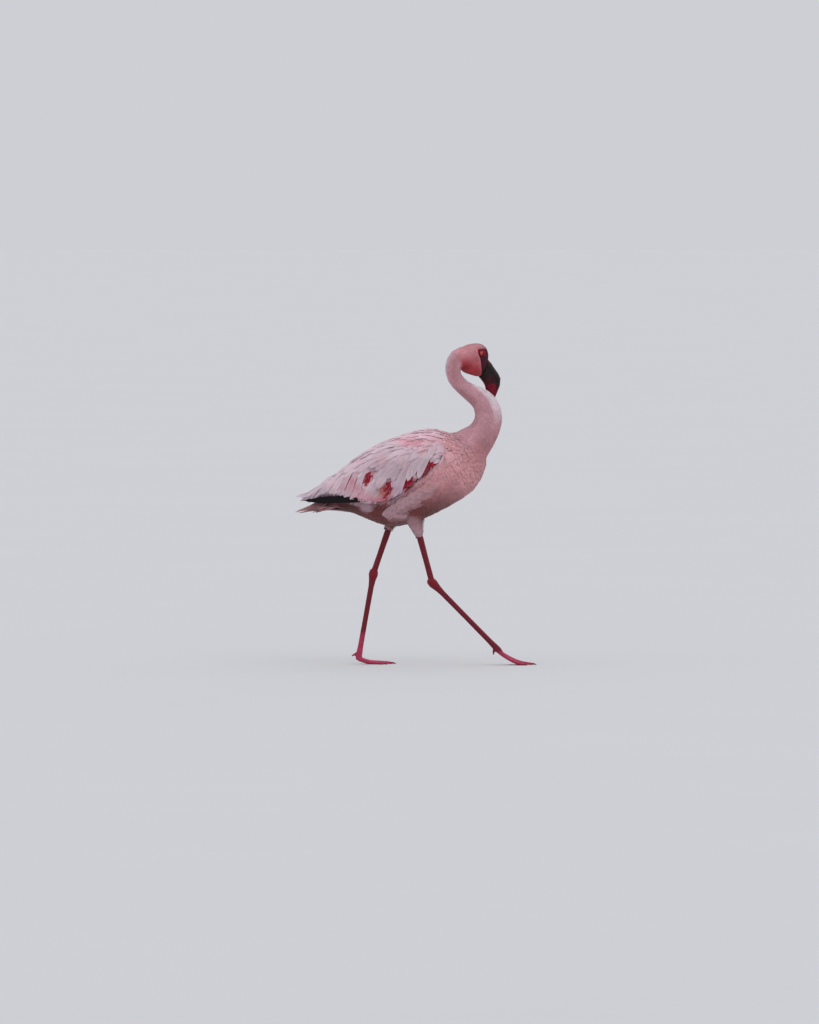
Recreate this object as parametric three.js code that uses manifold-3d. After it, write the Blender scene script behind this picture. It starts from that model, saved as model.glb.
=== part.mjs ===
// A lesser flamingo at life size, walking, with its neck in an S and its head turned to its left.
// Millimetres. +X is the way it walks, +Y is its left and +Z is up. The soles are at Z = 0.
import * as THREE from "three";
import { mergeVertices } from "three/addons/utils/BufferGeometryUtils.js";
import Module from "manifold-3d";

const wasm = await Module();
wasm.setup();

// ---- Driving dimensions ----

const PART_GAP = 0.3; // between a piece and its neighbour
const SIDES = 20; // round the trunk, neck and head
const LIMB_SIDES = 10; // round a leg

// The neck's line from inside the breast to the skull, and its two half thicknesses along it.
const NECK_LINE = [
  [88, 0, 400],
  [118, 0, 433],
  [146, 0, 463],
  [157, 0, 495],
  [147, 0, 525],
  [121, 0, 544],
  [100.5, -1, 559.5],
  [86.5, -3, 580.5],
  [88.5, -4, 602],
  [101, 2, 618],
  [120, 13, 621],
];
const NECK_DEEP = [[0, 54], [0.1, 43], [0.2, 31.5], [0.3, 28.5], [0.4, 25], [0.5, 18], [0.6, 15.5],
  [0.72, 15.5], [0.8, 17.5], [0.9, 17], [1, 13]];
const NECK_WIDE = [[0, 50], [0.1, 38], [0.2, 28], [0.3, 25.5], [0.4, 22.5], [0.5, 17], [0.6, 14.5],
  [0.8, 15.5], [0.9, 15], [1, 12]];
const NECK_CUTS = [0.036, 0.333, 0.567, 0.97]; // where its three lengths begin and end

// The head's frame has its origin midway between the eyes.
const HEAD_PLACE = new THREE.Vector3(132.4, 22, 622);
const HEAD_YAW = THREE.MathUtils.degToRad(36); // towards its left
const HEAD_PITCH = THREE.MathUtils.degToRad(10); // bill raised
const HEAD_BACK = -50;
const HEAD_FRONT = 26;
const HEAD_TOP = [[-50, 2], [-44, 12], [-31, 18.5], [-19, 21], [-7, 21], [5, 19.5], [15, 16], [22, 9.5],
  [26, -4]];
const HEAD_UNDER = [[-50, -12], [-44, -25], [-31, -35], [-19, -40.5], [-7, -46], [2, -47.5], [13, -35],
  [22, -20], [26, -10]];
const HEAD_HALF = [[-50, 5], [-44, 13], [-31, 18], [-19, 19.5], [-7, 19.5], [5, 18], [15, 15], [22, 10.5],
  [26, 5]];

const EYE_RADIUS = 5.6;
const EYE_SIDE = 14; // from the middle of the head to the middle of the eye

// The bill, station by station from its base to its tip: its ridge, its keel, its half width, and the share
// of its depth that is upper mandible.
const BILL = [
  { ridge: [19, -3], keel: [-7, -41], half: 11, upper: 0.42 },
  { ridge: [25.5, -17.5], keel: [1.5, -51.5], half: 11.5, upper: 0.4 },
  { ridge: [34, -35], keel: [6, -58], half: 11, upper: 0.37 },
  { ridge: [42.6, -49], keel: [9, -63.5], half: 10.4, upper: 0.35 },
  { ridge: [46.6, -59.5], keel: [11, -69.5], half: 10, upper: 0.35 },
  { ridge: [43, -73], keel: [11.2, -79], half: 9, upper: 0.37 },
  { ridge: [32, -88.6], keel: [10.8, -90], half: 7, upper: 0.4 },
  { ridge: [22.6, -101], keel: [10.8, -99.5], half: 4.8, upper: 0.45 },
  { ridge: [15, -109], keel: [10.8, -106], half: 2.2, upper: 0.5 },
];
const MANDIBLE_GAP = 0.35;

// The trunk, with its breast and belly plumage, along X.
const TRUNK_FRONT = 154;
const TRUNK_BACK = -180;
const TRUNK_TOP = [[-180, 327], [-165, 344], [-140, 364], [-107, 394], [-74, 420], [-41, 437], [-8, 450],
  [25, 461], [58, 464], [91, 465.5], [120, 455.5], [140, 438], [154, 412]];
const TRUNK_UNDER = [[-180, 320], [-165, 312], [-140, 308], [-107, 300], [-74, 284], [-41, 275], [-8, 277],
  [25, 289], [58, 304], [91, 322], [120, 341], [140, 364], [154, 398]];
const TRUNK_HALF = [[-180, 6], [-165, 20], [-140, 32], [-107, 45], [-74, 56], [-41, 64], [-8, 69], [25, 72],
  [58, 71], [91, 64], [120, 50], [140, 34], [154, 11]];
const TRUNK_POWER = 2.15;

// The outside of the folded wings and the long shoulder feathers that lie over them.
const WING_FRONT = 80;
const WING_BACK = -229;
const PLUMAGE_TOP = [[-229, 333], [-207, 344], [-174, 367], [-140, 388], [-107, 415], [-74, 437], [-41, 451],
  [-8, 463], [25, 471], [50, 472], [80, 465]];
const PLUMAGE_UNDER = [[-229, 322], [-174, 310], [-107, 292], [-41, 270], [25, 276], [80, 310]];
const PLUMAGE_HALF = [[-229, 6], [-207, 21], [-174, 36], [-140, 50], [-107, 62], [-74, 71], [-41, 78],
  [-8, 80], [25, 79], [50, 76], [80, 68]];
const PLUMAGE_POWER = 2.3;
const FLIGHT_INSET = 4; // how far the flight feathers lie inside the coverts

// Edges of the folded wing from the side, from its front, along the bottom to its tip.
const WING_EDGE = [[78, 440], [66, 412], [52, 397], [25, 376], [-1, 353], [-28, 333], [-60, 324], [-98, 326],
  [-130, 336], [-174, 339], [-212, 329], [-229, 327]];
const FLIGHT_EDGE = [[-52, 320.5], [-120, 320], [-175, 321], [-219, 323.5]];

const TAIL_ROOT = -118;
const TAIL_TIP = -232;
const TAIL_TOP = [[-232, 303.8], [-222, 309], [-207, 316], [-174, 319], [-118, 322]];
const TAIL_UNDER = [[-232, 300.5], [-222, 303.5], [-207, 307.5], [-174, 311], [-118, 308]];
const TAIL_HALF = [[-232, 9], [-222, 20], [-207, 27], [-174, 29], [-118, 24]];

// The right leg reaches forward and the left one trails. Each is a knee, a heel joint and a toe joint, with
// the share of the shin that is feathered, the foot's turn in degrees, and how far its toes slope down.
const LEGS = {
  right: { knee: [3, -30, 318], heel: [44, -23, 165], toes: [178, -15, 28], coated: .37, turn: -6, slope: 54 },
  left: { knee: [-24, 30, 325], heel: [-73, 21, 182], toes: [-103, 12, 13], coated: .36, turn: 6, slope: 30 },
};
const THIGH_RADIUS = [[0, 25], [0.6, 17], [1, 10]];
const SHIN_RADIUS = [[0, 8.5], [0.4, 7], [0.75, 6], [1, 6.6]];
const SHANK_DEEP = [[-0.05, 5.4], [-0.025, 8.8], [0.02, 9.8], [0.07, 7.6], [0.16, 5.8], [0.6, 5.4],
  [0.9, 5.8], [0.98, 6.8], [1.03, 5]];
const SHANK_WIDE = [[-0.05, 4.2], [-0.025, 7], [0.02, 7.8], [0.07, 6.2], [0.16, 4.9], [0.6, 4.4], [0.9, 4.9],
  [0.98, 6], [1.03, 4.4]];

// Each toe's angle is towards the middle of the bird.
const TOES = [
  { name: "inner", angle: 27, length: 56 },
  { name: "middle", angle: 0, length: 69 },
  { name: "outer", angle: -27, length: 60 },
];
const TOE_RADIUS = [[0, 5.4], [0.3, 4.4], [0.8, 3.4], [1, 2.4]];
const TOE_FLAT = 0.8; // share of a toe's half height that shows below its middle, so its sole is flat
const WEB_THICK = 1.6;
const WEB_START = 15;
const WEB_REACH = 0.93; // of a toe's length
const WEB_SAG = 9; // how far the web's free edge curves back between two toes
const CLAW_LENGTH = 8;
const CLAW_RADIUS = 1.7;
// The small raised toe: how far down the shank it grows, from how deep inside it, and how much it droops.
const HIND_TOE = { share: 0.93, inside: 5.8, length: 12, radius: 2.6, droop: 0.8 };

// ---- Helpers ----

// A smooth curve through [place, value] pairs, level beyond its ends.
function profile(pairs) {
  const last = pairs.length - 1;
  const slopes = pairs.map((pair, i) => {
    const before = pairs[Math.max(i - 1, 0)];
    const after = pairs[Math.min(i + 1, last)];
    return (after[1] - before[1]) / (after[0] - before[0]);
  });
  return (place) => {
    if (place <= pairs[0][0]) return pairs[0][1];
    if (place >= pairs[last][0]) return pairs[last][1];
    const i = pairs.findIndex((pair) => pair[0] > place);
    const [x0, y0] = pairs[i - 1];
    const [x1, y1] = pairs[i];
    const wide = x1 - x0;
    const t = (place - x0) / wide;
    const start = (1 + 2 * t) * (1 - t) ** 2 * y0 + t * (1 - t) ** 2 * wide * slopes[i - 1];
    const end = t * t * (3 - 2 * t) * y1 + t * t * (t - 1) * wide * slopes[i];
    return start + end;
  };
}

// A ring of points round a centre: an oval, or a squarer one where the power is over 2.
function ring({ centre, side, rise, half, height, power = 2 }, sides = SIDES) {
  return Array.from({ length: sides }, (_, i) => {
    const angle = (2 * Math.PI * i) / sides;
    const across = Math.sign(Math.cos(angle)) * Math.abs(Math.cos(angle)) ** (2 / power);
    const above = Math.sign(Math.sin(angle)) * Math.abs(Math.sin(angle)) ** (2 / power);
    return centre.clone().addScaledVector(side, across * half).addScaledVector(rise, above * height);
  });
}

// A closed skin over rings, with a fan of faces at each end.
function skinOver(rings) {
  const sides = rings[0].length;
  const points = rings.flat();
  const faces = [];
  for (let k = 0; k + 1 < rings.length; k += 1) {
    for (let i = 0; i < sides; i += 1) {
      const next = (i + 1) % sides;
      const [a, b, c, d] = [k * sides + i, k * sides + next, (k + 1) * sides + next, (k + 1) * sides + i];
      faces.push(a, b, c, a, c, d);
    }
  }
  for (const [end, turn] of [[0, -1], [rings.length - 1, 1]]) {
    const middle = rings[end].reduce((sum, p) => sum.add(p), new THREE.Vector3()).divideScalar(sides);
    points.push(middle);
    for (let i = 0; i < sides; i += 1) {
      const pair = [end * sides + i, end * sides + ((i + 1) % sides)];
      if (turn < 0) pair.reverse();
      faces.push(...pair, points.length - 1);
    }
  }
  const geometry = new THREE.BufferGeometry();
  geometry.setAttribute("position", new THREE.Float32BufferAttribute(points.flatMap((p) => p.toArray()), 3));
  geometry.setIndex(faces);
  return geometry;
}

// A closed geometry as a solid that can be joined and cut.
function solidOf(geometry) {
  const bare = geometry.clone();
  bare.deleteAttribute("normal");
  bare.deleteAttribute("uv");
  const merged = mergeVertices(bare, 1e-4);
  const mesh = new wasm.Mesh({
    numProp: 3,
    vertProperties: merged.attributes.position.array,
    triVerts: new Uint32Array(merged.index.array),
  });
  return new wasm.Manifold(mesh);
}

function geometryOf(solid) {
  const { vertProperties, triVerts, numProp } = solid.getMesh();
  const flat = [];
  for (let i = 0; i < vertProperties.length; i += numProp) {
    flat.push(vertProperties[i], vertProperties[i + 1], vertProperties[i + 2]);
  }
  const geometry = new THREE.BufferGeometry();
  geometry.setAttribute("position", new THREE.Float32BufferAttribute(flat, 3));
  geometry.setIndex(new THREE.BufferAttribute(triVerts, 1));
  return geometry;
}

// The largest body of a solid, without the slivers that a cut can leave.
function mainBody(solid) {
  return solid.decompose().reduce((a, b) => (a.volume() > b.volume() ? a : b));
}

function spread(start, end, steps) {
  return Array.from({ length: steps + 1 }, (_, i) => start + ((end - start) * i) / steps);
}

// Closer together near both ends, where a form rounds over.
function spreadRound(start, end, steps) {
  return spread(0, Math.PI, steps).map((angle) => start + ((end - start) * (1 - Math.cos(angle))) / 2);
}

const SIDEWAYS = new THREE.Vector3(0, 1, 0);
const UPWARDS = new THREE.Vector3(0, 0, 1);

// A form along X, from its outline seen from the side and its half width.
function alongX({ from, to, top, under, half, power, steps, grow = 0, sides = SIDES }) {
  const [topAt, underAt, halfAt] = [top, under, half].map(profile);
  const rings = spreadRound(from, to, steps).map((x) => {
    const share = (x - from) / (to - from);
    const place = x + (2 * share - 1) * Math.sign(to - from) * grow;
    const high = topAt(x) + grow;
    const low = underAt(x) - grow;
    const centre = new THREE.Vector3(place, 0, (high + low) / 2);
    const form = { half: halfAt(x) + grow, height: (high - low) / 2, power };
    return ring({ centre, side: SIDEWAYS, rise: UPWARDS, ...form }, sides);
  });
  return solidOf(skinOver(rings));
}

// A round form along a line of points, with its two half thicknesses at each share of the line.
function alongLine({ line, shares, deep, wide, grow = 0, sides = LIMB_SIDES }) {
  const rings = shares.map((share) => {
    const centre = line.getPoint(Math.min(Math.max(share, 0), 1));
    const along = line.getTangent(Math.min(Math.max(share, 0), 1));
    const outside = share - Math.min(Math.max(share, 0), 1);
    centre.addScaledVector(along, outside * line.getLength());
    const side = SIDEWAYS.clone().addScaledVector(along, -SIDEWAYS.dot(along)).normalize();
    const rise = along.clone().cross(side);
    return ring({ centre, side, rise, half: wide(share) + grow, height: deep(share) + grow }, sides);
  });
  return solidOf(skinOver(rings));
}

// A prism across the bird with the given side outline, from y = near to y = far.
function acrossY(outline, near, far) {
  const shape = new THREE.Shape(outline.map(([x, z]) => new THREE.Vector2(x, z)));
  const geometry = new THREE.ExtrudeGeometry(shape, { depth: far - near, bevelEnabled: false });
  geometry.rotateX(Math.PI / 2);
  geometry.translate(0, far, 0);
  return solidOf(geometry);
}

const COLOURS = {
  plumage: { color: 0xe59a98, roughness: 0.85 },
  pale_plumage: { color: 0xe6c6cc, roughness: 0.85 },
  flight: { color: 0x17151a, roughness: 0.6 },
  bill: { color: 0x35161c, roughness: 0.4 },
  eye: { color: 0xb8361e, roughness: 0.1 },
  leg: { color: 0xb3303f, roughness: 0.55 },
  claw: { color: 0x241a1c, roughness: 0.5 },
};

function pieceOf(name, finish, solid) {
  const material = new THREE.MeshStandardMaterial({ ...COLOURS[finish], metalness: 0 });
  const piece = new THREE.Mesh(geometryOf(solid), material);
  piece.name = name;
  return piece;
}

// ---- Trunk, wings and tail ----

function trunk(grow = 0) {
  return alongX({
    from: TRUNK_BACK, to: TRUNK_FRONT, top: TRUNK_TOP, under: TRUNK_UNDER, half: TRUNK_HALF,
    power: TRUNK_POWER, steps: 17, grow,
  });
}

function plumage(grow = 0) {
  return alongX({
    from: WING_BACK, to: WING_FRONT, top: PLUMAGE_TOP, under: PLUMAGE_UNDER, half: PLUMAGE_HALF,
    power: PLUMAGE_POWER, steps: 17, grow,
  });
}

function tail(grow = 0) {
  return alongX({
    from: TAIL_TIP, to: TAIL_ROOT, top: TAIL_TOP, under: TAIL_UNDER, half: TAIL_HALF,
    power: 2.6, steps: 7, grow, sides: 16,
  });
}

const ABOVE = 500; // higher than the back
const BEYOND = 120; // further out than the side of the body

// The folded wing of one side: the coverts, and the shoulder and innermost feathers over them.
function wing(span) {
  const outline = [[WING_BACK - 5, ABOVE], ...WING_EDGE.toReversed(), [WING_FRONT + 5, ABOVE]];
  return mainBody(plumage().intersect(acrossY(outline, ...span)).subtract(trunk(PART_GAP)));
}

// The black flight feathers that show below the coverts.
function flight(span) {
  const edge = WING_EDGE.filter(([x]) => x < -50).map(([x, z]) => [x, z - PART_GAP]);
  const inside = plumage(-FLIGHT_INSET).intersect(acrossY([...FLIGHT_EDGE, ...edge.toReversed()], ...span));
  return mainBody(inside.subtract(trunk(PART_GAP)).subtract(tail(PART_GAP)));
}

function trunkAndWings() {
  const group = new THREE.Group();
  group.add(pieceOf("trunk", "plumage", trunk()));
  group.add(pieceOf("tail", "pale_plumage", mainBody(tail().subtract(trunk(PART_GAP)))));
  for (const [side, span] of [["right", [-BEYOND, -PART_GAP / 2]], ["left", [PART_GAP / 2, BEYOND]]]) {
    group.add(pieceOf(`wing_${side}`, "pale_plumage", wing(span)));
    group.add(pieceOf(`flight_feathers_${side}`, "flight", flight(span)));
  }
  return group;
}

// ---- Neck ----

const neckPoints = NECK_LINE.map((p) => new THREE.Vector3(...p));
const neckLine = new THREE.CatmullRomCurve3(neckPoints, false, "centripetal");

function neckLength(from, to, steps) {
  const [deep, wide] = [NECK_DEEP, NECK_WIDE].map(profile);
  return alongLine({ line: neckLine, shares: spread(from, to, steps), deep, wide, sides: SIDES });
}

function neck() {
  const group = new THREE.Group();
  const gap = (0.5 * PART_GAP) / neckLine.getLength();
  const names = ["neck_base", "neck_middle", "neck_top"];
  names.forEach((name, i) => {
    let length = neckLength(NECK_CUTS[i] + gap, NECK_CUTS[i + 1] - gap, 8);
    if (i === 0) length = length.subtract(trunk(PART_GAP));
    if (i === 2) length = length.subtract(headInPlace(PART_GAP));
    group.add(pieceOf(name, "plumage", mainBody(length)));
  });
  return group;
}

// ---- Head, eyes and bill ----

const headMatrix = new THREE.Matrix4()
  .makeRotationFromEuler(new THREE.Euler(0, -HEAD_PITCH, HEAD_YAW, "ZYX"))
  .setPosition(HEAD_PLACE);

function head(grow = 0) {
  return alongX({
    from: HEAD_BACK, to: HEAD_FRONT, top: HEAD_TOP, under: HEAD_UNDER, half: HEAD_HALF,
    power: 2.1, steps: 13, grow,
  });
}

function headInPlace(grow) {
  return solidOf(geometryOf(head(grow)).applyMatrix4(headMatrix));
}

function eye(side, grow = 0) {
  const ball = new THREE.SphereGeometry(EYE_RADIUS + grow, 12, 8);
  ball.translate(0, side * EYE_SIDE, 0);
  return solidOf(ball);
}

// Half of the bill's section at each station, from where the mandibles meet out to the ridge or keel.
function mandible(isUpper) {
  const arc = 8;
  const stations = BILL.map(({ ridge, keel, half, upper }) => {
    const [top, low] = [ridge, keel].map(([x, z]) => new THREE.Vector3(x, 0, z));
    const meet = top.clone().lerp(low, upper);
    const far = isUpper ? top : low;
    const out = far.clone().sub(meet);
    const reach = out.length();
    out.normalize();
    meet.addScaledVector(out, MANDIBLE_GAP / 2);
    const points = spread(0, Math.PI, arc).map((angle) => {
      const across = Math.cos(angle) * half;
      const height = Math.sin(angle) ** 0.9 * (reach - MANDIBLE_GAP / 2);
      return meet.clone().addScaledVector(out, height).setY(across);
    });
    return isUpper ? points : points.reverse();
  });
  return solidOf(skinOver(stations));
}

function headAndBill() {
  const group = new THREE.Group();
  group.applyMatrix4(headMatrix);
  const sockets = eye(-1, PART_GAP).add(eye(1, PART_GAP));
  group.add(pieceOf("head", "plumage", head().subtract(sockets)));
  group.add(pieceOf("eye_right", "eye", eye(-1)));
  group.add(pieceOf("eye_left", "eye", eye(1)));
  const skull = head(PART_GAP);
  group.add(pieceOf("bill_upper", "bill", mainBody(mandible(true).subtract(skull))));
  group.add(pieceOf("bill_lower", "bill", mainBody(mandible(false).subtract(skull))));
  return group;
}

// ---- Legs and feet ----

function lineBetween(a, b) {
  return new THREE.LineCurve3(new THREE.Vector3(...a), new THREE.Vector3(...b));
}

function shank(leg, grow = 0) {
  const shares = [-0.05, -0.025, 0.02, 0.05, 0.09, 0.16, 0.5, 0.85, 0.94, 0.98, 1.01, 1.03];
  const [deep, wide] = [SHANK_DEEP, SHANK_WIDE].map(profile);
  return alongLine({ line: lineBetween(leg.heel, leg.toes), shares, deep, wide, grow });
}

function shin(leg) {
  const radius = profile(SHIN_RADIUS);
  const line = lineBetween(leg.knee, leg.heel);
  return alongLine({ line, shares: spread(0.1, 1, 7), deep: radius, wide: radius });
}

function thigh(leg, grow = 0) {
  const radius = profile(THIGH_RADIUS);
  const line = lineBetween(leg.knee, leg.heel);
  const scaled = (share) => radius(share / leg.coated);
  return alongLine({ line, shares: spread(0, leg.coated, 6), deep: scaled, wide: scaled, grow });
}

// The height of a toe's middle at a distance from the toe joint: down a slope, then flat along the ground.
function toeHeight(leg, distance, radius) {
  const left = 1 - Math.min(distance / leg.slope, 1);
  return THREE.MathUtils.lerp(radius * TOE_FLAT, leg.toes[2] - 2, left ** 1.6);
}

const UNDERFOOT = 0;

function toe(leg, { angle, length }) {
  const turn = THREE.MathUtils.degToRad(angle);
  const forward = new THREE.Vector3(Math.cos(turn), Math.sin(turn), 0);
  const side = new THREE.Vector3(-Math.sin(turn), Math.cos(turn), 0);
  const radius = profile(TOE_RADIUS);
  const rings = spread(0, 1, 6).map((share) => {
    const size = radius(share);
    const centre = forward.clone().multiplyScalar(share * length);
    centre.z = toeHeight(leg, share * length, size);
    const points = ring({ centre, side, rise: UPWARDS, half: size, height: size }, LIMB_SIDES);
    points.forEach((p) => { p.z = Math.max(p.z, UNDERFOOT); });
    return points;
  });
  return solidOf(skinOver(rings));
}

// The web: a thin sheet that follows the toes' slope, its free edge curving back between them.
function web(leg, toes) {
  const [last, middle, first] = toes.toSorted((a, b) => a.angle - b.angle);
  const columns = 8;
  const rings = spread(0, 1, 6).map((t) => {
    const points = spread(0, columns, columns).map((i) => {
      const angle = THREE.MathUtils.lerp(first.angle, last.angle, i / columns);
      const outer = angle >= 0 ? first : last;
      const between = angle / outer.angle;
      const reach = THREE.MathUtils.lerp(middle.length, outer.length, between) * WEB_REACH;
      const edge = reach - WEB_SAG * Math.sin(Math.PI * between);
      const distance = THREE.MathUtils.lerp(WEB_START, edge, t);
      const turn = THREE.MathUtils.degToRad(angle);
      const low = Math.max(toeHeight(leg, distance, 0) - WEB_THICK / 2, UNDERFOOT);
      return new THREE.Vector3(distance * Math.cos(turn), distance * Math.sin(turn), low);
    });
    const above = points.map((p) => p.clone().setZ(p.z + WEB_THICK)).reverse();
    return [...points, ...above].reverse();
  });
  return solidOf(skinOver(rings));
}

function claw(leg, { angle, length }) {
  const turn = THREE.MathUtils.degToRad(angle);
  const forward = new THREE.Vector3(Math.cos(turn), Math.sin(turn), 0);
  const side = new THREE.Vector3(-Math.sin(turn), Math.cos(turn), 0);
  const rings = spread(0, 1, 3).map((share) => {
    const size = CLAW_RADIUS * (1 - 0.8 * share);
    const centre = forward.clone().multiplyScalar(length + PART_GAP + share * CLAW_LENGTH);
    centre.z = CLAW_RADIUS * (1.25 - 0.75 * share * share);
    return ring({ centre, side, rise: UPWARDS, half: size, height: size }, 8);
  });
  return solidOf(skinOver(rings));
}

// The small raised toe, from inside the back of the shank, down and out behind it.
function hindToe(leg) {
  const { share, inside, length, radius, droop } = HIND_TOE;
  const line = lineBetween(leg.heel, leg.toes);
  const start = line.getPoint(share);
  const along = line.getTangent(share);
  const back = SIDEWAYS.clone().cross(along).normalize();
  const out = back.addScaledVector(along, droop).normalize();
  const end = start.clone().addScaledVector(out, inside + length);
  const size = profile([[0, radius], [0.7, radius * 0.9], [1, radius * 0.5]]);
  const toeLine = new THREE.LineCurve3(start, end);
  return alongLine({ line: toeLine, shares: spread(0, 1, 4), deep: size, wide: size, sides: 8 });
}

function legPieces(side) {
  const leg = LEGS[side];
  const group = new THREE.Group();
  const [body, heelEnd] = [trunk(PART_GAP), shank(leg, PART_GAP)];
  const shinSolid = shin(leg).subtract(thigh(leg, PART_GAP)).subtract(heelEnd).subtract(body);
  group.add(pieceOf(`thigh_${side}`, "plumage", mainBody(thigh(leg).subtract(body))));
  group.add(pieceOf(`shin_${side}`, "leg", mainBody(shinSolid)));
  group.add(pieceOf(`shank_${side}`, "leg", shank(leg)));
  group.add(pieceOf(`hind_toe_${side}`, "leg", mainBody(hindToe(leg).subtract(heelEnd))));

  const foot = new THREE.Group();
  foot.position.set(leg.toes[0], leg.toes[1], 0);
  foot.rotation.z = THREE.MathUtils.degToRad(leg.turn);
  foot.updateMatrix();
  const shankHere = solidOf(geometryOf(shank(leg, PART_GAP)).applyMatrix4(foot.matrix.clone().invert()));
  const inwards = side === "right" ? 1 : -1;
  const toes = TOES.map((each) => ({ ...each, angle: each.angle * inwards }));
  const joined = toes.map((each) => toe(leg, each)).reduce((sum, each) => sum.add(each), web(leg, toes));
  foot.add(pieceOf(`foot_${side}`, "leg", mainBody(joined.subtract(shankHere))));
  for (const each of toes) foot.add(pieceOf(`claw_${each.name}_${side}`, "claw", claw(leg, each)));
  group.add(foot);
  return group;
}

// ---- The whole bird, its origin on the floor below the middle of its length and width ----

const bird = new THREE.Group();
bird.add(trunkAndWings(), neck(), headAndBill(), legPieces("right"), legPieces("left"));
const box = new THREE.Box3().setFromObject(bird, true);
bird.position.set(-(box.min.x + box.max.x) / 2, -(box.min.y + box.max.y) / 2, -box.min.z);

export default bird;
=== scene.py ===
import math
from functools import lru_cache

import bpy
import numpy as np
from bpy.props import FloatProperty, FloatVectorProperty, IntProperty, PointerProperty
from mathutils import Matrix, Vector
from mathutils.bvhtree import BVHTree


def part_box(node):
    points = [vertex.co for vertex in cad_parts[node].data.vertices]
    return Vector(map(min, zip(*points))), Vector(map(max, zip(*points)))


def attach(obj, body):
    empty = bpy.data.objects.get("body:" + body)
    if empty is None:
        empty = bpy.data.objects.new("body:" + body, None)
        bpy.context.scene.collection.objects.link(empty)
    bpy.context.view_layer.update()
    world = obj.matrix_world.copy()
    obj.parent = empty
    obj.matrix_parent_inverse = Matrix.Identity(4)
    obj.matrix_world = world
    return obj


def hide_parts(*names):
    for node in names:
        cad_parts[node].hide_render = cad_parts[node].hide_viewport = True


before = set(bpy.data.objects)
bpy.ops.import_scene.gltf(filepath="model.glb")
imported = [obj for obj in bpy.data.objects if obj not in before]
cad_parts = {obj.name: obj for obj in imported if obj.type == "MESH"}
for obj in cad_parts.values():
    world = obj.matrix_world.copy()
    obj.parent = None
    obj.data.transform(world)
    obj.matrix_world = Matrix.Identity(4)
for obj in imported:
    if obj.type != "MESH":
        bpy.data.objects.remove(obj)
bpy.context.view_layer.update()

bl_info = {
    "name": "Lesser flamingo",
    "version": (1, 0, 0),
    "blender": (4, 5, 0),
    "location": "3D View > Sidebar > Flamingo",
    "description": "The skin, bill, eyes, claws and plumage of a walking lesser flamingo",
    "category": "Object",
}

MM = 0.001
SIDES = {"right": -1, "left": 1}


# ---- Landmarks, all in millimetres of the drawing ----

def centre_of(node):
    low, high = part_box(node)
    return (np.array(low) + np.array(high)) / 2


EYE_MIDDLE = (centre_of("eye_right") + centre_of("eye_left")) / 2
EYE_FORWARD = 132.4  # the eyes' place along the drawing
SHIFT = np.array([EYE_FORWARD * MM - EYE_MIDDLE[0], 0, 0])  # from the frame to the drawing
HEAD_PITCH = math.radians(10)  # bill raised


def unit(vectors):
    vectors = np.asarray(vectors, float)
    return vectors / np.maximum(np.linalg.norm(vectors, axis=-1, keepdims=True), 1e-12)


def head_axes():
    across = unit(centre_of("eye_left") - centre_of("eye_right"))
    level = unit(np.cross(across, [0, 0, 1]))
    forward = level * math.cos(HEAD_PITCH) + np.array([0, 0, 1]) * math.sin(HEAD_PITCH)
    return np.array([forward, across, np.cross(forward, across)])


HEAD_AXES = head_axes()


def drawing(points):
    """From the frame, in metres, to the drawing, in millimetres."""
    return (np.asarray(points) + SHIFT) / MM


def in_frame(points):
    """From the drawing, in millimetres, to the frame, in metres."""
    return np.asarray(points, float) * MM - SHIFT


def in_head(points):
    """How far forward, left and up of the point midway between the eyes, in millimetres."""
    return (np.asarray(points) - EYE_MIDDLE) @ HEAD_AXES.T / MM


def from_head(points):
    """Back from the head's own millimetres to the frame."""
    return np.asarray(points, float) * MM @ HEAD_AXES + EYE_MIDDLE


EYE_RADIUS = 5.6
EYE_SIDE = 14.0  # from the middle of the head to the middle of an eyeball
EYE_OPENING = 4.15  # radius of the gap between the lids
LID_EDGE = 2.9  # radius at which the lids meet the eyeball before they are drawn back
BILL_BASE = np.array([19.0, -3.0])  # where the ridge meets the forehead, forward and up
BILL_BASE_LOW = np.array([1.5, -50.0])  # where the keel meets the chin

# The rear edge of the bare face on the side of the head: heights, and how far forward it lies.
FACE_HEIGHTS = [-53, -48, -35, -24, -8, -3, 3, 10]
FACE_REAR = [-0.5, 1, -2.6, -4.6, -5.4, -7.4, -7.5, -6.5]
FACE_CORNER = 4.2  # radius of the bare face's upper rear corner
FACE_STRIP = 3.2  # width of the bare strip across the forehead

# The middles of the neck and the trunk, and the wing's lower edge from the rear to the shoulder.
NECK_LINE = [[101, 2, 618], [88.5, -4, 602], [86.5, -3, 580.5], [100.5, -1, 559.5], [121, 0, 544],
             [147, 0, 525], [157, 0, 495], [146, 0, 463], [118, 0, 433], [88, 0, 400]]
TRUNK_LINE = [[45, 0, 385], [0, 0, 370], [-60, 0, 352], [-120, 0, 340], [-180, 0, 328],
              [-240, 0, 312]]
WING_EDGE = [[-229, 327], [-212, 329], [-174, 339], [-130, 336], [-98, 326], [-60, 324],
             [-28, 333], [-1, 353], [25, 376], [52, 397], [66, 412], [78, 440]]

# How the coat lies on the body, seen from the side: places, and degrees below straight back.
LIE = [(96, 455, 52), (60, 468, 6), (25, 470, 8), (-20, 458, 18), (-70, 435, 27), (-120, 405, 33),
       (-170, 372, 36), (-220, 335, 28), (75, 445, 35), (40, 425, 50), (0, 400, 56),
       (-20, 355, 68), (-60, 385, 52), (-90, 350, 58), (-120, 370, 46), (-160, 350, 36),
       (-200, 335, 25), (145, 430, 88), (140, 380, 75), (110, 350, 50), (90, 410, 70),
       (50, 370, 46), (60, 320, 30), (0, 320, 34), (0, 288, 12), (-60, 290, 0), (-60, 315, 12),
       (-120, 308, -8), (-170, 318, 0), (-230, 305, 8)]


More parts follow.
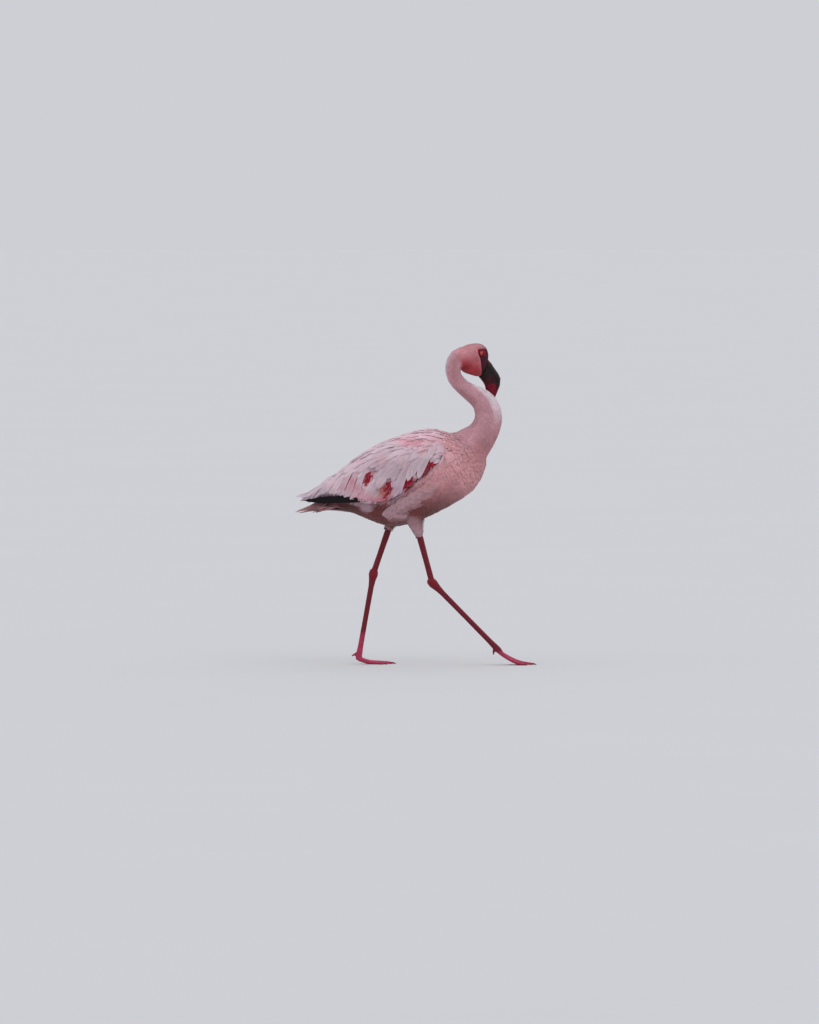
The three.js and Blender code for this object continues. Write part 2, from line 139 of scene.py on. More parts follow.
def smooth_line(points, steps=12):
    """A Catmull-Rom line through the points, with its tangents."""
    p = np.array(points, float)
    p = np.vstack([2 * p[0] - p[1], p, 2 * p[-1] - p[-2]])
    t = np.linspace(0, 1, steps, endpoint=False)[:, None]
    spans = []
    for a, b, c, d in zip(p, p[1:], p[2:], p[3:]):
        spans.append(0.5 * (2 * b + (c - a) * t + (2 * a - 5 * b + 4 * c - d) * t**2
                            + (3 * b - a - 3 * c + d) * t**3))
    line = np.vstack(spans + [p[-2:-1]])
    return line, unit(np.gradient(line, axis=0))


def head_line():
    """Through the head, from the bill to the nape, in the drawing."""
    return drawing(from_head([[30, 0, -20], [12, 0, -12], [-8, 0, -8]]))


SPINE, SPINE_ALONG = smooth_line(np.vstack([head_line(), NECK_LINE, TRUNK_LINE]))


def run_along(line):
    """How far along a line each of its points is."""
    return np.concatenate([[0], np.cumsum(np.linalg.norm(np.diff(line, axis=0), axis=1))])


SPINE_SHARE = run_along(SPINE)
SPINE_BLEND = 30  # how softly the spine's direction changes between its points
BATCH = 20000  # points worked out at a time


def near_spine(points):
    """For each point: how far along the spine it is, the spine's direction there, and how far
    towards the back and the left of the spine it stands, in millimetres."""
    p = drawing(points)
    far = np.empty(len(p), int)
    along = np.empty((len(p), 3))
    for start in range(0, len(p), BATCH):
        batch = slice(start, start + BATCH)
        gap = ((p[batch, None, :] - SPINE[None]) ** 2).sum(2)
        far[batch] = gap.argmin(1)
        weight = 1 / (gap + SPINE_BLEND) ** 2
        along[batch] = weight @ SPINE_ALONG / weight.sum(1)[:, None]
    along = unit(along)
    offset = p - SPINE[far]
    back = unit(np.stack([along[:, 2], 0 * along[:, 0], -along[:, 0]], 1))
    return SPINE_SHARE[far], along, (offset * back).sum(1), offset[:, 1]


def step(low, high, value):
    """0 below low, 1 above high, and smooth between."""
    t = np.clip((np.asarray(value, float) - low) / (high - low), 0, 1)
    return t * t * (3 - 2 * t)


def bump(centre, width, value):
    """1 at the centre, falling smoothly to nothing on both sides."""
    return np.exp(-(((np.asarray(value, float) - centre) / width) ** 2))


# ---- Working on meshes ----

def tone(colour):
    """A colour as seen on a screen, to the linear one that a shader mixes."""
    c = np.asarray(colour, float)[..., :3]
    return np.where(c <= 0.04045, c / 12.92, ((c + 0.055) / 1.055) ** 2.4)


def pick(*objects):
    """Only these are selected, and the first is active."""
    bpy.ops.object.select_all(action="DESELECT")
    for obj in objects:
        obj.select_set(True)
    bpy.context.view_layer.objects.active = objects[0]
    return objects[0]


def modified(obj, kind, **settings):
    """The piece with one modifier applied."""
    pick(obj)
    modifier = obj.modifiers.new(kind.title(), kind)
    for name, value in settings.items():
        setattr(modifier, name, value)
    bpy.ops.object.modifier_apply(modifier=modifier.name)
    return obj


def edit(obj, *steps, mode="VERT"):
    """Runs edit-mode steps on the whole of a piece."""
    pick(obj)
    bpy.ops.object.mode_set(mode="EDIT")
    bpy.ops.mesh.select_mode(type=mode)
    for one in steps:
        bpy.ops.mesh.select_all(action="SELECT")
        one()
    bpy.ops.object.mode_set(mode="OBJECT")
    return obj


def merged_copy(name, nodes):
    """One closed copy of these solids, their loose triangles merged."""
    copies = []
    for node in nodes:
        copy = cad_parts[node].copy()
        copy.data = copy.data.copy()
        copy.parent = None
        for key in list(copy.keys()):
            del copy[key]
        bpy.context.scene.collection.objects.link(copy)
        copies.append(copy)
    whole = pick(*copies)
    if len(copies) > 1:
        bpy.ops.object.join()
    whole.name = whole.data.name = name
    whole.data.materials.clear()
    return edit(whole, lambda: bpy.ops.mesh.remove_doubles(threshold=1e-6))


def smooth_shaded(obj):
    pick(obj)
    bpy.ops.object.shade_smooth()
    return obj


def read(items, name, width, kind=np.float32):
    """One property of a mesh's vertices, edges or faces, with a row for each."""
    flat = np.empty(len(items) * width, kind)
    items.foreach_get(name, flat)
    return flat.reshape(-1, width)


def points_of(mesh):
    return read(mesh.vertices, "co", 3).astype(float)


def normals_of(mesh):
    return read(mesh.vertices, "normal", 3).astype(float)


def triangles_of(mesh):
    mesh.calc_loop_triangles()
    return read(mesh.loop_triangles, "vertices", 3, np.int32)


def set_points(mesh, points):
    mesh.vertices.foreach_set("co", np.asarray(points, np.float32).ravel())
    mesh.update()


def spread_smooth(values, edges, rounds):
    """Values at vertices, moved in each round half way to the mean of their neighbours."""
    values = np.array(values, float)
    flat = values.reshape(len(values), -1)
    count = np.bincount(edges.ravel(), minlength=len(values))[:, None]
    for _ in range(rounds):
        total = np.zeros_like(flat)
        for k in range(flat.shape[1]):
            total[:, k] = (np.bincount(edges[:, 0], flat[edges[:, 1], k], len(values))
                           + np.bincount(edges[:, 1], flat[edges[:, 0], k], len(values)))
        flat = flat + 0.5 * (total / np.maximum(count, 1) - flat)
    return flat.reshape(values.shape)


def surface_of(obj):
    """A piece's surface, to be asked for its nearest points."""
    mesh = obj.data
    return Surface(points_of(mesh), triangles_of(mesh), normals_of(mesh))


class Surface:
    """Triangles with smooth normals."""

    def __init__(self, points, triangles, normals):
        self.points, self.triangles, self.normals = points, triangles, normals
        self.tree = BVHTree.FromPolygons(points.tolist(), triangles.tolist(), all_triangles=True)

    def nearest(self, places):
        """The nearest points, their smooth normals, and the distances."""
        find = self.tree.find_nearest
        found = [find(place) for place in np.asarray(places).tolist()]
        spots = np.array([f[0] for f in found])
        faces = np.array([f[2] for f in found])
        gap = np.array([f[3] for f in found])
        return spots, self.normals_at(spots, faces), gap

    def normals_at(self, spots, faces):
        """Smooth normals at places on these triangles."""
        corners = self.triangles[faces]
        near = 1 / (np.linalg.norm(self.points[corners] - spots[:, None], axis=2) + 1e-5)
        return unit((self.normals[corners] * near[:, :, None]).sum(1))


def paint(obj, name, colours):
    """Colours or numbers kept on a piece's vertices for its finish to read."""
    colours = np.asarray(colours, np.float32)
    if colours.ndim == 1:
        layer = obj.data.attributes.new(name, "FLOAT", "POINT")
        layer.data.foreach_set("value", colours)
        return
    full = np.ones((len(colours), 4), np.float32)
    full[:, :3] = colours[:, :3]
    layer = obj.data.color_attributes.new(name, "FLOAT_COLOR", "POINT")
    layer.data.foreach_set("color", full.ravel())


# ---- The skin ----

ZONES = {
    "head": ["head"],
    "neck": ["neck_top", "neck_middle", "neck_base"],
    "body": ["trunk"],
    "wing": ["wing_right", "wing_left"],
    "tail": ["tail"],
    "thigh": ["thigh_right", "thigh_left"],
    "shin": ["shin_right", "shin_left"],
    "foot": ["shank_right", "shank_left", "hind_toe_right", "hind_toe_left",
             "foot_right", "foot_left"],
}
FLESH = [node for nodes in ZONES.values() for node in nodes]
ZONE_SOFTNESS = 2.0  # how far one zone runs into the next
SKIN_GROWTH = 0.32  # added before the skin is made one, and taken off again afterwards
FINE_HEAD, FINE_LEGS = 62, 262  # the skin is fine this near the eyes, and below this height
THICKEST_COAT = 0.28  # of the flesh under it
GROUND = 0.1  # the lowest that the skin goes


@lru_cache(maxsize=None)
def zone_surface(zone):
    """The outside of one zone's solids, or of one solid."""
    points, triangles, start = [], [], 0
    for node in ZONES.get(zone, [zone]):
        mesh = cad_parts[node].data
        points.append(points_of(mesh))
        triangles.append(triangles_of(mesh) + start)
        start += len(points[-1])
    points, triangles = np.vstack(points), np.vstack(triangles)
    a, b, c = (points[triangles[:, k]] for k in range(3))
    flat = np.cross(b - a, c - a)
    normals = np.zeros_like(points)
    for k in range(3):
        np.add.at(normals, triangles[:, k], flat)
    return Surface(points, triangles, unit(normals))


def zone_shares(points):
    """How much each point belongs to each zone of the body."""
    gaps = np.stack([zone_surface(zone).nearest(points)[2] / MM for zone in ZONES], 1)
    weight = np.exp(-((gaps - gaps.min(1)[:, None]) / ZONE_SOFTNESS) ** 2)
    return dict(zip(ZONES, (weight / weight.sum(1)[:, None]).T))


def bare_face(points):
    """1 on the bare skin between the bill and the eye, 0 on the feathered head."""
    u, v, w = in_head(points).T
    along = unit(BILL_BASE_LOW - BILL_BASE)
    behind = (u - BILL_BASE[0]) * along[1] - (w - BILL_BASE[1]) * along[0]
    middle = FACE_STRIP - behind
    side = step(4, 9, abs(v))
    line = middle + (u - np.interp(w, FACE_HEIGHTS, FACE_REAR) - middle) * side
    top = -4 + (13 - 0.12 * u) * side
    ring = 7.6 + 0.9 * step(-2, 5, w) - np.hypot(u, w)
    inside = FACE_CORNER - np.hypot(FACE_CORNER - np.minimum(line, FACE_CORNER),
                                    FACE_CORNER - np.minimum(top - w, FACE_CORNER))
    face = step(-0.6, 0.6, inside)
    around = step(-0.6, 0.6, ring) * step(9, 12, abs(v))
    return np.maximum(face, around) * step(-58, -51, w)


def coat_depths(points, shares, sizes):
    """How far the skin lies under the tips of the coat, in millimetres."""
    share = near_spine(points)[0]
    neck = sizes.neck_coat / MM * (0.75 + 1.1 * step(120, 330, share))
    depth = (shares["head"] * sizes.head_coat / MM + shares["neck"] * neck
             + (shares["body"] + shares["wing"]) * sizes.body_coat / MM
             + shares["tail"] * sizes.tail_coat / MM
             + shares["thigh"] * sizes.thigh_coat / MM
             + shares["shin"] * 1.2 * coated_shin(points))
    return depth * (1 - 0.85 * bare_face(points))


def limb_line(node):
    """The top and bottom ends of a part of a leg."""
    points = points_of(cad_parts[node].data)
    order = points[:, 2].argsort()
    few = max(len(points) // 8, 6)
    return points[order[-few:]].mean(0), points[order[:few]].mean(0)


def leg_ends(side):
    """The top of a thigh and the bottom of its shin."""
    return limb_line(f"thigh_{side}")[0], limb_line(f"shin_{side}")[1]


SHIN_COATS = {"right": 0.06, "left": 0.04}  # how far down each shin the feathers reach


def coated_shin(points):
    """1 where a shin is feathered, 0 below."""
    out = np.zeros(len(points))
    for side, coated in SHIN_COATS.items():
        top, low = limb_line(f"shin_{side}")
        along = (np.asarray(points) - top) @ (low - top) / ((low - top) @ (low - top))
        near = np.asarray(points)[:, 1] * SIDES[side] > 0
        out = np.where(near, 1 - step(coated - 0.06, coated, along), out)
    return out


def bare_leg(points, shares):
    """1 on the scaly skin of the legs and feet, 0 elsewhere."""
    return shares["foot"] + shares["shin"] * (1 - coated_shin(points))


def wall_thickness(points, normals, surface):
    """How thick the flesh is under each point, in millimetres; 99 where it is very thick."""
    cast = surface.tree.ray_cast
    out = np.full(len(points), 99.0)
    starts = (points - normals * 0.3 * MM).tolist()
    for i, (start, normal) in enumerate(zip(starts, (-normals).tolist())):
        found = cast(start, normal, 80 * MM)
        if found[3] is not None:
            out[i] = found[3] / MM
    return out


def open_eyelids(points):
    """Draws the skin back from the eyeballs and raises a rounded rim round each."""
    head = in_head(points)
    u, v, w = head.T
    angle = np.arctan2(w, u)
    radius = np.hypot(u, w * 1.06)
    side = np.sign(v)
    near = (abs(v) > 12.5) & (radius < 11)
    opened = radius + (EYE_OPENING - LID_EDGE) * (1 - step(2.6, 9.5, radius))
    scale = np.where(near & (radius > 0.5), opened / np.maximum(radius, 0.5), 1)
    rim = 0.5 * bump(5.1, 1.0, opened) + 0.16 * bump(7.4, 0.7, opened)
    fold = 0.12 * np.cos(9 * angle + 0.6 * np.sin(3 * angle)) * bump(6.6, 1.1, opened)
    outer = step(15.2, 16.4, abs(v))
    lifted = v + side * np.where(near, (rim + fold) * outer, 0)
    moved = np.stack([u * scale, lifted, w * scale], 1)
    return np.where(near[:, None], from_head(moved), points)


def shorten_rear(points, shares):
    """Ends the flesh of the wings and tail before the tips of their feathers."""
    x = points[:, 0].copy()
    wing = np.where(x < -165, -165 + (x + 165) * 0.68, x)
    tail = np.where(x < -150, -150 + (x + 150) * 0.56, x)
    x += (wing - x) * shares["wing"] + (tail - x) * shares["tail"]
    return np.column_stack([x, points[:, 1:]])


SCUTE_HEIGHT, SCUTE_GROOVE = 4.2, 0.16


def roughen_limbs(points, normals, shares):
    """The grooves between the scutes down the fronts of the legs."""
    height = points[:, 2] / MM
    rings = 0.5 + 0.5 * np.cos(2 * math.pi * height / SCUTE_HEIGHT)
    front = step(-0.2, 0.8, normals[:, 0])
    shank = step(16, 30, height) * (1 - step(300, 320, height))
    groove = SCUTE_GROOVE * rings ** 3 * front * shank * bare_leg(points, shares)
    return points - normals * groove[:, None] * MM


def build_skin(sizes):
    """The solids of the flesh made one skin, finer on the head and legs than under the coat."""
    skin = merged_copy("skin", FLESH)
    modified(skin, "DISPLACE", strength=SKIN_GROWTH * MM, mid_level=0, direction="NORMAL")
    modified(skin, "REMESH", mode="VOXEL", voxel_size=sizes.grain, adaptivity=0)
    points = points_of(skin.data)
    high = points[:, 2] / MM
    fine = (np.linalg.norm(points - EYE_MIDDLE, axis=1) < FINE_HEAD * MM) | (high < FINE_LEGS)
    group = skin.vertex_groups.new(name="coarse")
    group.add(np.flatnonzero(~fine).tolist(), 1.0, "REPLACE")
    kept = fine.sum() * 2
    ratio = (kept + sizes.coarse_faces) / (2 * len(points))
    modified(skin, "DECIMATE", ratio=ratio, vertex_group="coarse")
    skin.vertex_groups.clear()
    edit(skin, lambda: bpy.ops.mesh.tris_convert_to_quads())
    modified(skin, "SMOOTH", factor=0.5, iterations=3)
    return skin


def split_round_eyes(skin):
    """Finer faces round the eyes."""
    pick(skin)
    bpy.ops.object.mode_set(mode="EDIT")
    bpy.ops.mesh.select_mode(type="FACE")
    bpy.ops.mesh.select_all(action="DESELECT")
    bpy.ops.object.mode_set(mode="OBJECT")
    polygons = skin.data.polygons
    u, v, w = in_head(read(polygons, "center", 3)).T
    polygons.foreach_set("select", (np.hypot(u, w) < 12) & (abs(v) > 11))
    bpy.ops.object.mode_set(mode="EDIT")
    bpy.ops.mesh.subdivide(number_cuts=1, smoothness=0)
    bpy.ops.object.mode_set(mode="OBJECT")


def settle_skin(skin, sizes):
    """Draws the skin in under its coat, then smooths it and shapes the lids and the scutes."""
    mesh = skin.data
    points, normals = points_of(mesh), normals_of(mesh)
    edges = read(mesh.edges, "vertices", 2, np.int32)
    shares = zone_shares(points)
    depth = coat_depths(points, shares, sizes)
    thick = wall_thickness(points, normals, surface_of(skin))
    depth = np.minimum(depth, THICKEST_COAT * thick)
    depth = spread_smooth(depth, edges, 12) + SKIN_GROWTH
    even = unit(spread_smooth(normals, edges, 4))
    points = points - even * depth[:, None] * MM

    coated = 1 - shares["foot"]
    calm = spread_smooth(points, edges, 3)
    points += (calm - points) * (coated * (1 - bare_face(points)))[:, None]

    # The crease where the neck meets the body is filled out.
    joint = spread_smooth(4 * shares["neck"] * shares["body"], edges, 14)
    eased = spread_smooth(points, edges, 40)
    fill = np.maximum(((eased - points) * even).sum(1), 0) * np.minimum(joint * 2.5, 1)
    points += even * spread_smooth(fill, edges, 3)[:, None]

    points = open_eyelids(points)
    points = in_frame(shorten_rear(drawing(points), shares))
    points = roughen_limbs(points, normals, shares)
    points[:, 2] = np.maximum(points[:, 2], GROUND * MM)
    set_points(mesh, points)
    paint(skin, "coat", depth)
    for zone, share in shares.items():
        paint(skin, zone, share)


# ---- Markings, the same on skin and coat ----

def blend(base, over, share):
    """A colour or a row of them, moved towards another by each place's share."""
    share = np.clip(np.asarray(share, float), 0, 1)[:, None]
    return base + (over - base) * share


def ripple(points, scale, seed):
    """A soft, even, repeatable unevenness from -1 to 1; scale is in millimetres."""
    rng = np.random.default_rng(seed)
    p = drawing(points) / scale
    out = np.zeros(len(p))
    for _ in range(7):
        way = unit(rng.normal(size=3)) * rng.uniform(0.7, 1.5)
        out += np.sin(2 * math.pi * (p @ way + rng.uniform()))
    return out / 3.2


# Where crimson shows on the wing: its middle, half its length and width, and its slope in
# degrees.
CRIMSON_PATCHES = [(39, 401, 15, 10, 30), (29, 389, 16, 12, 45), (-1, 364, 20, 13, 62),
                   (-42, 358, 19, 7, 82), (-79, 380, 16, 8, 66), (-114, 375, 13, 8, 60)]

# Softer washes on the folded wing: place, reach along and up, strength and colour.
WING_WASHES = [((-38, 392), (60, 22), 0.75, "dusky"), ((20, 402), (34, 15), 0.6, "dusky"),
               ((0, 446), (30, 9), 0.8, "rose"), ((48, 448), (26, 7), 0.5, "rose"),
               ((-116, 356), (30, 12), 0.75, "rose"), ((-92, 338), (26, 10), 0.7, "rose"),
               ((-28, 350), (16, 26), 0.55, "mauve"), ((-62, 346), (14, 20), 0.4, "dusky"),
               ((-50, 348), (16, 17), 1.0, "rust"), ((-60, 331), (30, 6), 0.8, "muted_red"),
               ((-117, 369), (11, 9), 0.85, "muted_red")]


def crimson(points):
    """Where the crimson coverts show between the pale shoulder feathers."""
    x, y, z = drawing(points).T
    out = np.zeros(len(x))
    for px, pz, long, wide, lean in CRIMSON_PATCHES:
        lean = math.radians(lean)
        along = (x - px) * math.cos(lean) + (z - pz) * math.sin(lean)
        across = -(x - px) * math.sin(lean) + (z - pz) * math.cos(lean)
        out = np.maximum(out, 1 - step(0.75, 1.15, np.hypot(along / long, across / wide)))
    return out * step(20, 30, abs(y))


def palette(colours):
    """The colours that a user can change, by name, as linear ones."""
    return {name: tone(getattr(colours, name)) for name in colours.bl_rna.properties.keys()
            if name not in ("rna_type", "name")}


def neck_colour(tones, share, back):
    """Duller down the middle and low in front, with painted rim light: a pale nape and a whitish
    rim where the edges of the neck catch light from behind.
    """
    neck = blend(tones["neck"], tones["neck_low"],
                 step(215, 300, share) * step(10, -10, back) * 0.8)
    neck = blend(neck, tones["neck_shade"], 0.6 * bump(-2, 7, back) * step(150, 120, share)
                 + 0.5 * bump(9, 5, back) * bump(165, 30, share))
    # Painted rim light: the pale nape along the back edge of the upper neck
    neck = blend(neck, tones["nape"], step(9, 15, back) * bump(108, 30, share) * 0.85)
    # Painted rim light along the front edge of the neck
    rim = step(-7, -14, back + 4 * step(200, 165, share)) * step(110, 150, share)
    return blend(neck, tones["neck_rim"], rim * 0.85 * step(250, 205, share))


def head_colour(tones, u, w):
    """Pale on the crown, redder on the cheek, deep red under it, and darkest in the angle between
    the head and the neck, where shade is painted.
    """
    head = blend(tones["cheek"], tones["crown"], step(-12, 12, w))
    head = blend(head, tones["throat"], step(-2, -24, w + 0.58 * (u + 30)))
    # Painted shade: the throat's red darkened in the angle under the rear of the head
    return blend(head, tones["throat"] * 0.45, 0.85 * bump(-40, 10, u) * bump(-23, 9, w))


def wing_colour(tones, points, x, z):
    """Pale, streaked and washed with pinks, and duller towards the tip."""
    wing = blend(tones["wing"], tones["back"],
                 np.maximum(0.8 * step(410, 458, z) * step(-50, 20, x), 0.12))
    wing = blend(wing, tones["scapular"], 0.6 * step(0.2, 0.8, ripple(points, 46, 5)))
    for place, reach, strength, name in WING_WASHES:
        away = np.hypot((x - place[0]) / reach[0], (z - place[1]) / reach[1])
        wing = blend(wing, tones[name], strength * step(1.3, 0.4, away))
    return blend(wing, tones["wing_tip"], step(-130, -215, x))


FRONT_HEEL, REAR_HEEL = 165, 182  # heights of the joints of the two legs


def leg_colour(tones, x, z):
    """Redder at the joints and pinker at the feet; on the rear leg the pink reaches higher."""
    joint = bump(FRONT_HEEL, 13, z) * (x > 0) + bump(REAR_HEEL, 13, z) * (x < 0)
    leg = blend(tones["leg"], tones["heel"], joint * 0.85)
    return blend(leg, tones["foot"], step(34, 14, z - 36 * (x < 0) * step(8, 14, z)))


def face_colour(tones, u, v, w):
    """Dark, flushed in front of the eye and blackish along the base of the bill."""
    flushed = step(-6, 1, w + 0.3 * u) * step(15, 8, u) * step(8, 11, abs(v))
    face = blend(tones["face"], tones["eyelid"], flushed)
    return blend(face, tones["bill_base"], step(-25, -31, w + 0.2 * (20 - u)))


def markings(points, shares, colours, red=None):
    """The colour of the bird at each place, as a linear mix."""
    red = crimson(points) if red is None else red
    tones = palette(colours)
    share, _, back, _ = near_spine(points)
    x, y, z = drawing(points).T
    u, v, w = in_head(points).T

    near = np.maximum(shares["head"], step(118, 100, share))
    soft = 6 + 6 * step(-12, 6, w)
    colour = blend(neck_colour(tones, share, back), head_colour(tones, u, w),
                   step(-48 - soft, -48 + soft, u) * near)

    colour = blend(colour, tones["breast"], step(290, 350, share))
    # The underside takes the belly colour: the salmon of the feathers darkened with painted shade
    low = step(392, 304, z + 0.1 * x) * step(340, 372, share)
    colour = blend(colour, tones["belly"], low)
    top = step(400, 455, z + 0.12 * x) * step(322, 360, share)
    colour = blend(colour, tones["back"], top)
    # The thigh feathers take some of the belly colour and its painted shade, more where they meet
    # the belly
    thigh = blend(tones["thigh"], tones["belly"], 0.25 + 0.3 * step(262, 290, z))
    colour = blend(colour, thigh, shares["thigh"] + shares["shin"] * coated_shin(points))
    # Painted shade under the rump and the tail, in the undertail colour
    under_rump_shade = step(-85, -130, x) * step(332, 316, z)
    colour = blend(colour, tones["undertail"], under_rump_shade)
    vent = step(1.3, 0.5, np.hypot((x + 87) / 14, (z - 314) / 9)) * (abs(y) > 8)
    colour = blend(colour, tones["vent"], vent * 0.7)
    # The tail's underside takes the undertail colour with its painted shade
    tail = blend(tones["tail"], tones["undertail"], step(311, 304, z))
    colour = blend(colour, tail, shares["tail"])

    wing = shares["wing"]
    colour = blend(colour, wing_colour(tones, points, x, z), wing)
    colour = blend(colour, tones["crimson"], red * step(0.3, 0.7, wing))
    colour = blend(colour, leg_colour(tones, x, z), bare_leg(points, shares))
    colour = blend(colour, face_colour(tones, u, v, w), bare_face(points))
    shade = 1 + 0.05 * ripple(points, 38, 11) + 0.04 * ripple(points, 12, 12)
    return np.clip(colour * shade[:, None], 0, 1)


# ---- Finishes ----

class Finish:
    """A node material around one Principled shader."""

    def __init__(self, name, **settings):
        self.material = bpy.data.materials.new(name)
        self.material.use_nodes = True
        self.tree = self.material.node_tree
        self.shader = self.tree.nodes["Principled BSDF"]
        for socket, value in settings.items():
            self.shader.inputs[socket.replace("_", " ")].default_value = value

    def node(self, kind, inputs=(), **settings):
        node = self.tree.nodes.new(kind)
        for name, value in settings.items():
            setattr(node, name, value)
        for key, value in dict(inputs).items():
            if isinstance(value, bpy.types.NodeSocket):
                self.tree.links.new(value, node.inputs[key])
            else:
                node.inputs[key].default_value = value
        return node

    def sum(self, kind, a, b=0.0, clamp=False):
        """One step of arithmetic."""
        return self.node("ShaderNodeMath", {0: a, 1: b}, operation=kind, use_clamp=clamp).outputs[0]

    def times(self, a, b):
        return self.sum("MULTIPLY", a, b)

    def mix(self, share, a, b, kind="MIX"):
        return self.node("ShaderNodeMix", {0: share, 6: a, 7: b}, data_type="RGBA",
                         blend_type=kind).outputs[2]

    def markings(self):
        return self.node("ShaderNodeAttribute", attribute_name="markings").outputs["Color"]

    def shaded(self, colour, shade):
        """A colour made lighter or darker by a number."""
        grey = self.node("ShaderNodeCombineColor", {0: shade, 1: shade, 2: shade})
        return self.mix(1.0, colour, grey.outputs[0], "MULTIPLY")

    def place(self):
        return self.node("ShaderNodeTexCoord").outputs["Object"]

    def squashed(self, height):
        """Places for a pattern drawn out along the height."""
        return self.node("ShaderNodeMapping", {
            "Vector": self.place(), "Scale": (1.0, 1.0, height)}).outputs[0]

    def noise(self, scale, detail=3.0, vector=None):
        node = self.node("ShaderNodeTexNoise", {
            "Vector": vector or self.place(), "Scale": scale, "Detail": detail,
            "Roughness": 0.55})
        return node.outputs["Fac"]

    def range(self, value, low, high, to_low=0.0, to_high=1.0):
        """A value moved from one range to another, and kept inside it."""
        return self.node("ShaderNodeMapRange", {
            0: value, 1: low, 2: high, 3: to_low, 4: to_high}).outputs[0]

    def uneven(self, scale, detail, low, high, vector=None):
        """Noise between two shades."""
        return self.range(self.noise(scale, detail, vector), 0.3, 0.7, low, high)

    def link(self, socket, value):
        self.tree.links.new(value, self.shader.inputs[socket])

    def bumped(self, height, strength, distance):
        node = self.node("ShaderNodeBump", {
            "Height": height, "Strength": strength, "Distance": distance})
        self.link("Normal", node.outputs[0])


BARB_SLANT = 0.34  # how steeply the barbs climb from the shaft to the edge
FRINGE_COLOUR = (0.86, 0.72, 0.74, 1)
CLAW_COLOUR = (0.03, 0.016, 0.018, 1)


def plumage_finish(name, stripes, fringe, roughness=0.8, sheen=0.16):
    """Feathers: the markings, with barbs that slant from a fine shaft and a paler fringe."""
    f = Finish(name, Roughness=roughness, Sheen_Weight=sheen, Sheen_Roughness=0.45,
               Specular_IOR_Level=0.15)
    vane = f.node("ShaderNodeUVMap", uv_map="vane").outputs[0]
    parts = f.node("ShaderNodeSeparateXYZ", {0: vane})
    from_shaft = f.sum("ABSOLUTE", f.sum("SUBTRACT", parts.outputs[0], 0.5))
    slant = f.sum("SUBTRACT", parts.outputs[1], f.times(from_shaft, BARB_SLANT))
    wave = f.sum("SINE", f.times(slant, stripes * 2 * math.pi))
    barbs = f.range(wave, -1, 1, 0.93, 1.05)
    shaft = f.range(from_shaft, 0.02, 0.07, 0.9, 1.0)
    edge = f.sum("MULTIPLY", f.range(from_shaft, 0.3, 0.5), fringe, clamp=True)
    shade = f.times(f.times(barbs, shaft), f.uneven(420, 2, 0.95, 1.05))
    f.link("Base Color", f.mix(edge, f.shaded(f.markings(), shade), FRINGE_COLOUR))
    f.bumped(f.sum("ADD", wave, f.times(shaft, 3.0)), 0.25, 0.0002)
    return f.material


def down_finish():
    """The down under the coat."""
    f = Finish("downy skin", Roughness=0.9, Sheen_Weight=0.2, Specular_IOR_Level=0.15)
    f.link("Base Color", f.shaded(f.markings(), f.uneven(900, 4, 0.8, 1.1)))
    f.bumped(f.noise(1500, 3), 0.4, 0.0004)
    return f.material


def bare_skin_finish():
    """Grained skin between the bill and the eye, flushed in places."""
    f = Finish("bare face skin", Roughness=0.55, Specular_IOR_Level=0.12)
    cells = f.node("ShaderNodeTexVoronoi", {"Vector": f.place(), "Scale": 1500.0})
    grains = f.range(cells.outputs["Distance"], 0.0, 0.6, 1.12, 0.8)
    flush = f.range(f.noise(260, 3), 0.35, 0.65, 0.85, 1.15)
    f.link("Base Color", f.shaded(f.markings(), f.times(grains, flush)))
    f.bumped(cells.outputs["Distance"], 0.5, 0.00025)
    return f.material


def leg_finish():
    """Scutes down the fronts of the legs, fine scales elsewhere."""
    f = Finish("scaly leg skin", Roughness=0.5, Specular_IOR_Level=0.25)
    scales = f.node("ShaderNodeTexVoronoi", {"Vector": f.squashed(0.62), "Scale": 430.0},
                    feature="DISTANCE_TO_EDGE").outputs["Distance"]
    groove = f.range(scales, 0.0, 0.09, 0.62, 1.0)
    f.link("Base Color", f.shaded(f.markings(), f.times(groove, f.uneven(130, 4, 0.84, 1.14))))
    f.link("Roughness", f.range(scales, 0.0, 0.1, 0.7, 0.48))
    f.bumped(f.range(scales, 0.0, 0.12), 0.55, 0.0003)
    return f.material


def bill_finish():
    """Horn with a fine grain down its length."""
    f = Finish("bill horn", Roughness=0.4, Specular_IOR_Level=0.2)
    grain = f.squashed(0.25)
    f.link("Base Color", f.shaded(f.markings(), f.uneven(700, 4, 0.82, 1.18, grain)))
    f.link("Roughness", f.uneven(350, 3, 0.34, 0.52))
    f.bumped(f.noise(1100, 4, grain), 0.2, 0.00025)
    return f.material


def claw_finish():
    f = Finish("claw horn", Roughness=0.4, Specular_IOR_Level=0.5)
    f.link("Base Color", f.shaded(CLAW_COLOUR, f.uneven(900, 3, 0.7, 1.25)))
    f.bumped(f.noise(1400, 2), 0.2, 0.0002)
    return f.material


def eye_finish():
    """The painted eyeball under a clear wet coat."""
    f = Finish("eyeball", Roughness=0.16, Specular_IOR_Level=0.3, Coat_Weight=0.22,
               Coat_Roughness=0.03)
    f.link("Base Color", f.shaded(f.markings(), f.uneven(2600, 3, 0.82, 1.2)))
    return f.material


def floor_finish(colour):
    f = Finish("pale floor", Roughness=0.85, Specular_IOR_Level=0.1)
    f.link("Base Color", f.shaded((*tone(colour), 1), f.uneven(1.4, 3, 0.985, 1.0)))
    return f.material


# ---- Eyes, bill and claws ----

def finished(obj, name, nodes, material=None):
    """Names a piece, gives it its finish when one is given, parents it to the root, and hides the
    solids that it stands for.
    """
    obj.name = obj.data.name = name
    if material:
        obj.data.materials.clear()
        obj.data.materials.append(material)
    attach(obj, "root")
    if nodes:
        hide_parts(*nodes)
    return obj


EYE_BULGE = 0.3
PUPIL_EDGE = (1.5, 1.75)
IRIS_RAYS = 23
PUPIL_COLOUR = np.array([0.004, 0.002, 0.002])
IRIS_EDGE_COLOUR = np.array([0.05, 0.008, 0.01])
EYE_BACK_COLOUR = np.array([0.3, 0.2, 0.18])


